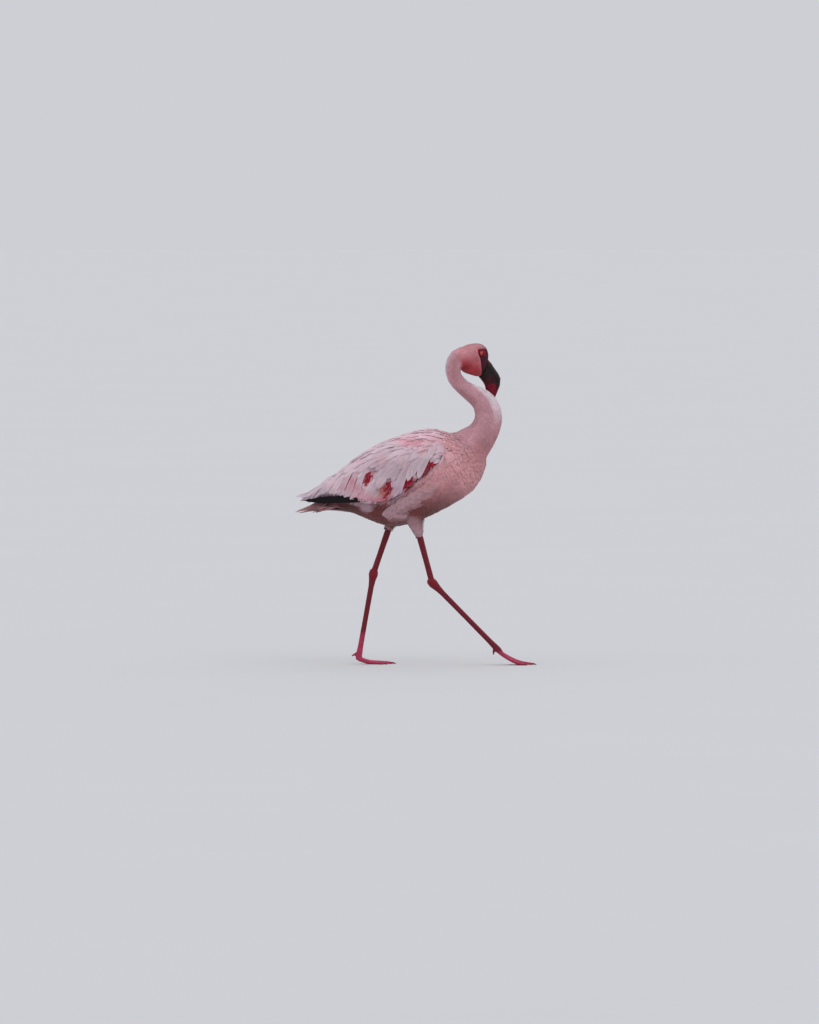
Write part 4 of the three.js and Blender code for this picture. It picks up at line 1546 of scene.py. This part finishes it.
def wing_tongues():
    """The feathers that hang over the lower edge of each folded wing."""
    surface = outer_surface("wing_right", "wing_left")
    vane = tongue_vane()
    rng = np.random.default_rng(81)
    spines, overs, widths = [], [], []
    for sign in SIDES.values():
        for i, (root, tip, width) in enumerate(TONGUES):
            line = curved(root, tip, 0.07, vane.stations)
            line[:, 1] = below_crest(surface, line, sign)
            spots, over = laid_on_side(surface, line, sign)
            over[:, 1] = np.where(over[:, 1] * sign < 0.15, sign * 0.3, over[:, 1])
            over = unit(spread_line(over, 2))
            rise = np.interp(vane.stations, [0, 0.3, 1], [-1.5, 0.6, 1.1 + 0.5 * (i % 3)])
            spines.append(lifted(spots, over, rise, 2))
            overs.append(over)
            widths.append(width * rng.uniform(0.95, 1.05))
    spines, overs = np.array(spines), np.array(overs)
    colours = bpy.context.scene.flamingo_colours
    colour = colours_in("wing", spines, colours, red=0)
    colour = colour + (tone(colours.wing) - colour) * 0.35
    obj = joined_vanes(vane, spines, overs, np.array(widths), skin_unwrap(spines[:, 1]),
                       shaded(colour, 83, 0.05))
    return finished(obj, "wing_tongues", (),
                    plumage_finish("wing tongues", 34, 0.3))


def below_crest(surface, line, sign):
    """The heights of a line, kept under the wing's upper edge towards the rear, so that no plume
    stands up from it."""
    above = np.column_stack([line[:, 0], np.full(len(line), sign * 3.0),
                             np.full(len(line), 500.0)])
    crest = drawing(laid_from(surface, above, (0, 0, -1))[0])[:, 2]
    below = 7 * step(-40, -120, line[:, 0]) * step(-225, -205, line[:, 0])
    return np.where(below > 0, np.minimum(line[:, 1], crest - below), line[:, 1])


# The edge that the flank feathers end along, from the shoulder round the lobe on the belly.
FLANK_EDGE = [(82, 456), (72, 430), (63, 410), (55, 399), (40, 379), (24, 366), (6, 353),
              (-15, 340), (-38, 325), (-54, 310), (-60, 297), (-52, 286), (-36, 280), (-14, 279)]

# The layers of flank feathers, the innermost first: how far from the edge their tips lie, their
# length and width, how much they lean outwards in degrees, how far along the edge they start and
# how much of the pale wash they take.
FLANK_LAYERS = [(33, 25, 9, 10, 0.52, 0.4), (24, 27, 9.5, 13, 0.4, 0.7),
                (15, 29, 10, 17, 0.27, 1), (6, 30, 10, 22, 0.15, 1)]
FLANK_SPACING = 4.2
LOBE_LIE = np.array([-0.9, -0.42])  # which way the feathers of the lobe lie


def flank_line(place, run, path, along, inset, long, lean, rng):
    """The root and the tip of one flank feather, in the side view."""
    edge = np.array([np.interp(place, run, path[:, k]) for k in (0, 1)])
    way = unit([np.interp(place, run, along[:, k]) for k in (0, 1)])
    on_lobe = step(run[-1] - 75, run[-1] - 45, place)
    down = unit(way * (1 - 0.8 * on_lobe) + LOBE_LIE * on_lobe)
    angle = math.radians(lean + rng.normal(0, 8))
    outwards = np.array([way[1], -way[0]])
    tip = edge - outwards * (inset + rng.uniform(-2, 4))
    heading = unit(down * math.cos(angle) + outwards * math.sin(angle))
    return tip - heading * long * rng.uniform(0.9, 1.1), tip


def flank_feathers():
    """Soft feathers that close over the lower edge of the wing and end in a lobe on the belly."""
    surface = outer_surface("trunk", "wing_right", "wing_left", "neck_base")
    vane = tongue_vane()
    path, along = smooth_line(FLANK_EDGE, 20)
    run = run_along(path)
    rng = np.random.default_rng(85)
    spines, overs, widths, paler = [], [], [], []
    for sign in SIDES.values():
        for layer, (inset, long, wide, lean, start, pale) in enumerate(FLANK_LAYERS):
            first = run[-1] * start
            for place in np.arange(3 + first, run[-1] - 2, FLANK_SPACING):
                place = place + rng.uniform(-1.2, 1.2)
                root, tip = flank_line(place, run, path, along, inset, long, lean, rng)
                spots, over = laid_on_side(surface, curved(root, tip, 0.03, vane.stations), sign)
                over = unit(spread_line(over, 3))
                fresh = 0.7 * step(50, 0, place - first)
                rise = np.interp(vane.stations, [0, 0.4, 1],
                                 [-3.4, -1.4, 0.2 + 0.45 * layer - fresh])
                spines.append(lifted(spots, over, rise, 4))
                overs.append(over)
                widths.append(wide * rng.uniform(0.9, 1.12))
                paler.append(pale)
    spines, overs = np.array(spines), np.array(overs)
    colours = bpy.context.scene.flamingo_colours
    colour = colours_in("body", spines, colours)
    height = drawing(spines)[..., 2]
    # The pale wash stops short of the lowest feathers, which keep the belly colour and its painted
    # shade
    low = (step(380, 325, height) * step(282, 300, height))[..., None] * 0.75
    low = low * np.array(paler)[:, None, None]
    to_tip = 0.4 + 0.6 * vane.stations[None, :, None]
    colour = colour + (tone(colours.thigh) - colour) * low * to_tip
    obj = joined_vanes(vane, spines, overs, np.array(widths), skin_unwrap(spines[:, 1]),
                       shaded(colour, 87, 0.045))
    return finished(obj, "flank_feathers", (),
                    plumage_finish("flank feathers", 26, 0.18))


def flight_feathers(sizes):
    """The black feathers that show below each wing, their tips stepped towards the rear."""
    vane = broad_vane()
    edge = np.array(WING_EDGE, float)
    for side, sign in SIDES.items():
        surface = outer_surface(f"flight_feathers_{side}", f"wing_{side}")
        spines, overs = [], []
        for i in range(sizes.flight_count):
            share = i / (sizes.flight_count - 1)
            root = (-64 - 20 * share, 331 + 6 * share)
            tip = (-213 + 84 * share, 328 + 4 * share)
            line = curved(root, tip, 0.015, vane.stations)
            spots, over = laid_on_side(surface, line, sign)
            over = unit(np.column_stack([over[:, 0] * 0.3, np.full(len(over), float(sign)),
                                         over[:, 2] * 0.4]))
            covered = step(-3, 3, line[:, 1] - np.interp(line[:, 0], edge[:, 0], edge[:, 1]))
            rise = 0.3 * i * vane.stations - 4.4 * covered
            spines.append(lifted(spots, over, rise, 3))
            overs.append(over)
        spines, overs = np.array(spines), np.array(overs)
        widths = np.full(len(spines), sizes.flight_width / MM)
        colour = np.broadcast_to(tone(bpy.context.scene.flamingo_colours.flight), spines.shape)
        obj = joined_vanes(vane, spines, overs, widths, skin_unwrap(spines[:, 4]),
                           shaded(colour, 91 + sign, 0.08))
        finished(obj, f"flight_quills_{side}", [f"flight_feathers_{side}"],
                 plumage_finish(f"black feathers {side}", 60, 0.0, 0.6, 0.0))


# The tail from above: how far back it reaches at each distance from its middle.
TAIL_OUTLINE = [[-232, 4], [-230, 9], [-224, 17], [-213, 24], [-200, 28], [-110, 28]]


def tail_feathers(sizes):
    """Pink feathers in a closed fan, the middle pair on top, and smaller ones that close it from
    below."""
    vane = broad_vane()
    surface = outer_surface("tail", "trunk")
    spines, overs = [], []
    pairs = sizes.tail_count // 2
    reach = np.array(TAIL_OUTLINE, float)
    t = vane.stations

    def add(places, way, rise):
        spots, over = laid_from(surface, places, way)
        over = unit(over * [0.4, 0.4, 1])
        spines.append(lifted(spots, over, rise, 3))
        overs.append(over)

    for i in range(pairs):
        share = i / (pairs - 1)
        for sign in (-1, 1):
            y = 3.5 + 19 * share
            far = np.interp(y + 4, reach[:, 1], reach[:, 0]) - 0.5
            x = -112 + (far + 112) * t
            across = 2 + 9 * share + (y - 2 - 9 * share) * t ** 0.8
            deep = np.interp(x, [-232, -222, -207], [0.3, 0.6, 1.0])
            add(np.column_stack([x, sign * across, np.full(len(t), 320.0)]), (0, 0, -1),
                -0.5 - 1.25 * i * deep - 0.9 * (1 - t))
    for k in range(-5, 6):
        y = 4.4 * k
        far = np.interp(abs(y) + 3, reach[:, 1], reach[:, 0]) + 6 + 3 * (k % 2)
        x = -120 + (far + 120) * t
        add(np.column_stack([x, y * (0.5 + 0.5 * t), np.full(len(t), 290.0)]), (0, 0, 1),
            0.3 + 0.5 * (k % 2) - 1.5 * (1 - t))
    spines, overs = np.array(spines), np.array(overs)
    widths = np.full(len(spines), sizes.tail_width / MM)
    widths[2 * pairs:] *= 0.75
    colours = bpy.context.scene.flamingo_colours
    # Painted shade: the lower feathers of the tail take the darker undertail colour
    height = step(317, 305, drawing(spines)[..., 2])[..., None]
    colour = tone(colours.tail) + (tone(colours.undertail) - tone(colours.tail)) * height * 0.7
    obj = joined_vanes(vane, spines, overs, widths, skin_unwrap(spines[:, 5]),
                       shaded(colour, 95, 0.06), 1.6)
    return finished(obj, "tail_feathers", (),
                    plumage_finish("tail feathers", 40, 0.2))


def tail_coverts():
    return plume_tract(
        "tail_coverts",
        chosen=lambda p, s: s["tail"] > 0.5,
        length=lambda p, s: 26 + 0 * s["tail"],
        width=lambda p, s: 8 + 0 * s["tail"],
        spacing=lambda p, s: 4.4 + 0 * s["tail"],
        seed=97, finish=plumage_finish("tail coverts", 18, 0.15), follow=0.3,
        limit=lambda p, way: drawing(p)[:, 0] - TAIL_COVERTS_END)


# ---- The floor, the light and the camera ----

def build_stage(stage):
    """A pale floor, light from all round, two soft lamps and a distant camera."""
    bpy.ops.object.select_all(action="DESELECT")
    bpy.ops.mesh.primitive_circle_add(vertices=160, radius=stage.floor_radius, fill_type="NGON")
    floor = bpy.context.object
    edit(floor, lambda: bpy.ops.mesh.inset(thickness=stage.floor_radius * 0.9), mode="FACE")
    floor.name = floor.data.name = "floor"
    floor.data.materials.append(floor_finish(stage.floor_colour))

    world = bpy.data.worlds.new("studio")
    bpy.context.scene.world = world
    world.use_nodes = True
    tree = world.node_tree
    back = tree.nodes["Background"]
    place = tree.nodes.new("ShaderNodeTexCoord")
    parts = tree.nodes.new("ShaderNodeSeparateXYZ")
    ramp = tree.nodes.new("ShaderNodeValToRGB")
    tree.links.new(place.outputs["Generated"], parts.inputs[0])
    tree.links.new(parts.outputs[2], ramp.inputs[0])
    tree.links.new(ramp.outputs[0], back.inputs[0])
    for stop, height, colour in zip(ramp.color_ramp.elements, (0.03, 0.75),
                                    (stage.horizon_colour, stage.ceiling_colour)):
        stop.position = height
        stop.color = (*tone(colour), 1)
    back.inputs[1].default_value = stage.sky_strength

    for name, strength, size, turn in (
            ("key light", stage.key_strength, 50, (38, 8, 28)),
            ("back light", stage.back_strength, 60, (-48, 0, -20))):
        lamp = bpy.data.lights.new(name, "SUN")
        lamp.energy = strength
        lamp.angle = math.radians(size)
        lamp.color = (1.0, 0.985, 0.97)
        obj = bpy.data.objects.new(name, lamp)
        obj.rotation_euler = [math.radians(a) for a in turn]
        bpy.context.scene.collection.objects.link(obj)

    camera = bpy.data.cameras.new("camera")
    camera.sensor_fit = "VERTICAL"
    camera.sensor_height = 24
    camera.lens = camera.sensor_height * stage.camera_distance / stage.frame_height
    camera.clip_end = 400
    view = bpy.data.objects.new("camera", camera)
    rise = stage.camera_rise
    aim = Vector((stage.aim[0], 0, stage.aim[1]))
    view.location = aim + Vector((0, -math.cos(rise), math.sin(rise))) * stage.camera_distance
    view.rotation_euler = (math.pi / 2 - rise, 0, 0)
    bpy.context.scene.collection.objects.link(view)
    bpy.context.scene.camera = view
    bpy.context.scene.view_settings.view_transform = "Standard"


# ---- What a user can change ----

def length(name, about, default):
    return FloatProperty(name=name, description=about, default=default, unit="LENGTH",
                         precision=4, min=0)


def strength(name, about, default):
    return FloatProperty(name=name, description=about, default=default, min=0)


def count(name, about, default, least):
    return IntProperty(name=name, description=about, default=default, min=least)


def colour(name, about, red, green, blue):
    return FloatVectorProperty(name=name, description=about, subtype="COLOR_GAMMA", size=3,
                               default=(red / 255, green / 255, blue / 255), min=0, max=1)


class FlamingoSkinSizes(bpy.types.PropertyGroup):
    grain: length("Grain", "Size of the skin's faces where it is finest", 0.0011)
    coarse_faces: count("Coarse faces", "Triangles of the skin under the body's coat", 36000, 1)
    head_coat: length("Head coat", "Depth of the feathers on the head", 0.0014)
    neck_coat: length("Neck coat", "Depth of the feathers half way down the neck", 0.0026)
    body_coat: length("Body coat", "Depth of the feathers on the trunk and wings", 0.0062)
    tail_coat: length("Tail coat", "Depth of the feathers round the tail", 0.003)
    thigh_coat: length("Thigh coat", "Depth of the feathers on the thighs", 0.0036)


class FlamingoFeatherSizes(bpy.types.PropertyGroup):
    head_length: length("Head length", "Length of the longest head feathers", 0.0078)
    head_width: length("Head width", "Width of the widest head feathers", 0.0024)
    head_spacing: length("Head spacing", "Space between the roots of head feathers", 0.0015)
    neck_length: length("Neck length", "Length of a neck feather", 0.0115)
    neck_width: length("Neck width", "Width of a neck feather", 0.0036)
    neck_spacing: length("Neck spacing", "Space between the roots of neck feathers", 0.0022)
    body_length: length("Body length", "Length of a body feather", 0.022)
    body_width: length("Body width", "Width of a body feather", 0.0082)
    body_spacing: length("Body spacing", "Space between the roots of body feathers", 0.0038)
    thigh_length: length("Thigh length", "Length of a thigh feather", 0.0125)
    thigh_width: length("Thigh width", "Width of a thigh feather", 0.0036)
    thigh_spacing: length("Thigh spacing", "Space between the roots of thigh feathers", 0.0026)
    shoulder_length: length("Shoulder length", "Length of the longest shoulder feathers", 0.062)
    shoulder_width: length("Shoulder width", "Width of a shoulder feather", 0.0125)
    shoulder_spacing: length("Shoulder spacing", "Space between their roots", 0.0088)
    flight_count: count("Flight feathers", "Black feathers below each wing", 11, 2)
    flight_width: length("Flight width", "Width of a black feather", 0.0135)
    tail_count: count("Tail feathers", "Feathers in the fan of the tail", 12, 4)
    tail_width: length("Tail width", "Width of a tail feather", 0.0155)
    covert_length: length("Covert length", "Length of a wing covert", 0.024)
    covert_width: length("Covert width", "Width of a wing covert", 0.0092)
    covert_spacing: length("Covert spacing", "Space between the roots of coverts", 0.0052)


class FlamingoColours(bpy.types.PropertyGroup):
    crown: colour("Crown", "Top of the head", 216, 148, 156)
    cheek: colour("Cheek", "Sides of the head", 196, 108, 119)
    # The throat's own deep red, darkened with painted shade under the head
    throat: colour("Throat", "Red under the cheek", 190, 64, 72)
    face: colour("Face", "Bare skin between the bill and the eye", 70, 17, 37)
    eyelid: colour("Eyelid", "Bare rim of the eye", 150, 20, 42)
    # Painted rim light on the back edge of the upper neck
    nape: colour("Nape", "Pale edge of the neck", 216, 192, 204)
    neck: colour("Neck", "Sides of the neck", 204, 152, 162)
    # Painted rim light along the edge of the neck
    neck_rim: colour("Neck rim", "Whitish upper edge of the neck", 232, 218, 226)
    neck_shade: colour("Neck shade", "Duller pink of the neck", 178, 116, 124)
    neck_low: colour("Lower neck", "Front of the lower neck", 184, 122, 128)
    breast: colour("Breast", "Breast and flanks", 210, 149, 154)
    # Salmon darkened with painted shade, for the underside of the body
    belly: colour("Belly", "Under the body", 114, 58, 56)
    back: colour("Back", "Top of the back", 222, 178, 192)
    wing: colour("Wing", "Long shoulder feathers", 208, 186, 196)
    scapular: colour("Scapular", "Pinker streaks of the shoulder", 222, 170, 182)
    dusky: colour("Dusky", "Duller middle of the wing", 170, 146, 154)
    rose: colour("Rose", "Rosy washes of the wing", 216, 140, 156)
    mauve: colour("Mauve", "Mauve feather low on the wing", 186, 142, 168)
    rust: colour("Rust", "Brownish pink between the low feathers", 176, 96, 88)
    muted_red: colour("Muted red", "Dull red along the wing's lower edge", 198, 90, 112)
    vent: colour("Vent", "Pale feathers between the belly and the tail", 196, 170, 180)
    wing_tip: colour("Wing tip", "Rear plumes", 196, 178, 192)
    thigh: colour("Thigh", "Feathers of the thigh", 205, 167, 177)
    tail: colour("Tail", "Feathers of the tail", 200, 138, 146)
    flight: colour("Flight", "Black feathers below the wing", 22, 17, 20)
    # Salmon darkened with painted shade, for the underside of the rump and tail
    undertail: colour("Undertail", "Under the tail", 85, 46, 45)
    crimson: colour("Crimson", "Coverts that show between the shoulder feathers", 148, 20, 46)
    leg: colour("Leg", "Legs", 115, 24, 39)
    heel: colour("Heel", "Joints of the legs", 132, 20, 36)
    foot: colour("Foot", "Feet and webs", 178, 54, 88)
    bill: colour("Bill", "Middle of the bill", 32, 13, 17)
    bill_base: colour("Bill base", "Bill beside the face", 34, 22, 17)
    bill_crimson: colour("Bill crimson", "Side of the bill's lower half", 113, 0, 34)
    # Own maroon of the lower mandible, darkened with painted shade
    bill_maroon: colour("Bill maroon", "Lower mandible", 60, 12, 24)
    bill_tip: colour("Bill tip", "Point of the bill", 14, 10, 12)
    iris: colour("Iris", "Inner ring of the eye", 200, 68, 44)
    iris_rim: colour("Iris rim", "Outer ring of the eye", 150, 22, 32)


class FlamingoStage(bpy.types.PropertyGroup):
    floor_radius: length("Floor radius", "Radius of the pale floor", 70)
    floor_colour: colour("Floor colour", "Colour of the floor", 196, 197, 200)
    horizon_colour: colour("Horizon colour", "Light from the sides", 199, 200, 205)
    ceiling_colour: colour("Ceiling colour", "Light from above", 252, 252, 255)
    sky_strength: strength("Sky strength", "Strength of the light from all round", 1.08)
    key_strength: strength("Key strength", "Strength of the light from the front", 0.3)
    back_strength: strength("Back strength", "Strength of the light from behind", 0.3)
    camera_distance: length("Camera distance", "From the camera to the bird", 22.8)
    camera_rise: FloatProperty(name="Camera rise", default=math.radians(2), subtype="ANGLE",
                               description="How far the camera looks down")
    frame_height: length("Frame height", "Height of the view at the bird", 2.048)
    aim: FloatVectorProperty(name="Aim", size=2, default=(-0.0125, 0.305), unit="LENGTH",
                             description="Where the camera looks, along and up")


# ---- Operators ----

class FLAMINGO_OT_skin(bpy.types.Operator):
    """One skin from the face to the toes, under the coat"""
    bl_idname = "flamingo.skin"
    bl_label = "Skin"

    def execute(self, context):
        sizes = context.scene.flamingo_skin
        skin = build_skin(sizes)
        split_round_eyes(skin)
        settle_skin(skin, sizes)
        surface = skin_surface()
        shares = dict(zip(["coat", *ZONES], surface.values.T))
        paint(skin, "markings", markings(surface.points, shares, context.scene.flamingo_colours))
        for finish in (down_finish(), bare_skin_finish(), leg_finish()):
            skin.data.materials.append(finish)
        middles = read(skin.data.polygons, "center", 3)
        legs = bare_leg(middles, zone_shares(middles)) > 0.5
        slots = np.where(legs, 2, np.where(bare_face(middles) > 0.4, 1, 0))
        skin.data.polygons.foreach_set("material_index", slots.astype(np.int32))
        finished(smooth_shaded(skin), "skin", FLESH)
        return {"FINISHED"}


class FLAMINGO_OT_eyes(bpy.types.Operator):
    """Both eyeballs"""
    bl_idname = "flamingo.eyes"
    bl_label = "Eyes"

    def execute(self, context):
        for side in SIDES:
            build_eye(side, context.scene.flamingo_colours)
        return {"FINISHED"}


class FLAMINGO_OT_bill(bpy.types.Operator):
    """The upper and lower mandibles"""
    bl_idname = "flamingo.bill"
    bl_label = "Bill"

    def execute(self, context):
        for name in MANDIBLES:
            build_mandible(name, context.scene.flamingo_colours)
        return {"FINISHED"}


class FLAMINGO_OT_claws(bpy.types.Operator):
    """The claws of both feet"""
    bl_idname = "flamingo.claws"
    bl_label = "Claws"

    def execute(self, context):
        build_claws()
        return {"FINISHED"}


class FLAMINGO_OT_head_plumage(bpy.types.Operator):
    """Small feathers of the head"""
    bl_idname = "flamingo.head_plumage"
    bl_label = "Head plumage"

    def execute(self, context):
        head_plumage(context.scene.flamingo_feathers)
        return {"FINISHED"}


class FLAMINGO_OT_neck_plumage(bpy.types.Operator):
    """Feathers of the neck"""
    bl_idname = "flamingo.neck_plumage"
    bl_label = "Neck plumage"

    def execute(self, context):
        neck_plumage(context.scene.flamingo_feathers)
        return {"FINISHED"}


class FLAMINGO_OT_body_plumage(bpy.types.Operator):
    """Feathers of the breast, flanks and belly"""
    bl_idname = "flamingo.body_plumage"
    bl_label = "Body plumage"

    def execute(self, context):
        body_plumage(context.scene.flamingo_feathers)
        return {"FINISHED"}


class FLAMINGO_OT_thigh_plumage(bpy.types.Operator):
    """Feathers of the thighs"""
    bl_idname = "flamingo.thigh_plumage"
    bl_label = "Thigh plumage"

    def execute(self, context):
        thigh_plumage(context.scene.flamingo_feathers)
        return {"FINISHED"}


class FLAMINGO_OT_wing_coverts(bpy.types.Operator):
    """Coverts of both folded wings"""
    bl_idname = "flamingo.wing_coverts"
    bl_label = "Wing coverts"

    def execute(self, context):
        wing_coverts(context.scene.flamingo_feathers)
        return {"FINISHED"}


class FLAMINGO_OT_shoulder_feathers(bpy.types.Operator):
    """Long pale feathers over the wings"""
    bl_idname = "flamingo.shoulder_feathers"
    bl_label = "Shoulder feathers"

    def execute(self, context):
        shoulder_feathers(context.scene.flamingo_feathers)
        return {"FINISHED"}


class FLAMINGO_OT_wing_tongues(bpy.types.Operator):
    """Feathers that hang over the wing's edge"""
    bl_idname = "flamingo.wing_tongues"
    bl_label = "Wing tongues"

    def execute(self, context):
        wing_tongues()
        return {"FINISHED"}


class FLAMINGO_OT_flank_feathers(bpy.types.Operator):
    """Soft feathers over the lower edge of the wing"""
    bl_idname = "flamingo.flank_feathers"
    bl_label = "Flank feathers"

    def execute(self, context):
        flank_feathers()
        return {"FINISHED"}


class FLAMINGO_OT_flight_feathers(bpy.types.Operator):
    """Black feathers below each wing"""
    bl_idname = "flamingo.flight_feathers"
    bl_label = "Flight feathers"

    def execute(self, context):
        flight_feathers(context.scene.flamingo_feathers)
        return {"FINISHED"}


class FLAMINGO_OT_tail_feathers(bpy.types.Operator):
    """The fan of the tail"""
    bl_idname = "flamingo.tail_feathers"
    bl_label = "Tail feathers"

    def execute(self, context):
        tail_feathers(context.scene.flamingo_feathers)
        return {"FINISHED"}


class FLAMINGO_OT_tail_coverts(bpy.types.Operator):
    """Feathers over and under the tail"""
    bl_idname = "flamingo.tail_coverts"
    bl_label = "Tail coverts"

    def execute(self, context):
        tail_coverts()
        return {"FINISHED"}


class FLAMINGO_OT_stage(bpy.types.Operator):
    """Floor, light and camera"""
    bl_idname = "flamingo.stage"
    bl_label = "Stage"

    def execute(self, context):
        build_stage(context.scene.flamingo_stage)
        return {"FINISHED"}


OPERATORS = (FLAMINGO_OT_stage, FLAMINGO_OT_skin, FLAMINGO_OT_eyes, FLAMINGO_OT_bill,
             FLAMINGO_OT_claws, FLAMINGO_OT_head_plumage, FLAMINGO_OT_neck_plumage,
             FLAMINGO_OT_body_plumage, FLAMINGO_OT_thigh_plumage, FLAMINGO_OT_wing_coverts,
             FLAMINGO_OT_shoulder_feathers, FLAMINGO_OT_wing_tongues, FLAMINGO_OT_flank_feathers,
             FLAMINGO_OT_flight_feathers, FLAMINGO_OT_tail_feathers, FLAMINGO_OT_tail_coverts)


class FLAMINGO_PT_panel(bpy.types.Panel):
    """The flamingo's pieces, in the order that they are made"""
    bl_idname = "FLAMINGO_PT_panel"
    bl_label = "Lesser flamingo"
    bl_space_type = "VIEW_3D"
    bl_region_type = "UI"
    bl_category = "Flamingo"

    def draw(self, context):
        for operator in OPERATORS:
            self.layout.operator(operator.bl_idname)


GROUPS = {"flamingo_skin": FlamingoSkinSizes, "flamingo_feathers": FlamingoFeatherSizes,
          "flamingo_colours": FlamingoColours, "flamingo_stage": FlamingoStage}


def register():
    for group in GROUPS.values():
        bpy.utils.register_class(group)
    for name, group in GROUPS.items():
        setattr(bpy.types.Scene, name, PointerProperty(type=group))
    for operator in OPERATORS:
        bpy.utils.register_class(operator)
    bpy.utils.register_class(FLAMINGO_PT_panel)


def unregister():
    bpy.utils.unregister_class(FLAMINGO_PT_panel)
    for operator in reversed(OPERATORS):
        bpy.utils.unregister_class(operator)
    for name, group in GROUPS.items():
        delattr(bpy.types.Scene, name)
        bpy.utils.unregister_class(group)


def main():
    register()
    for operator in OPERATORS:
        section, action = operator.bl_idname.split(".")
        getattr(getattr(bpy.ops, section), action)()


if __name__ == "__main__":
    main()
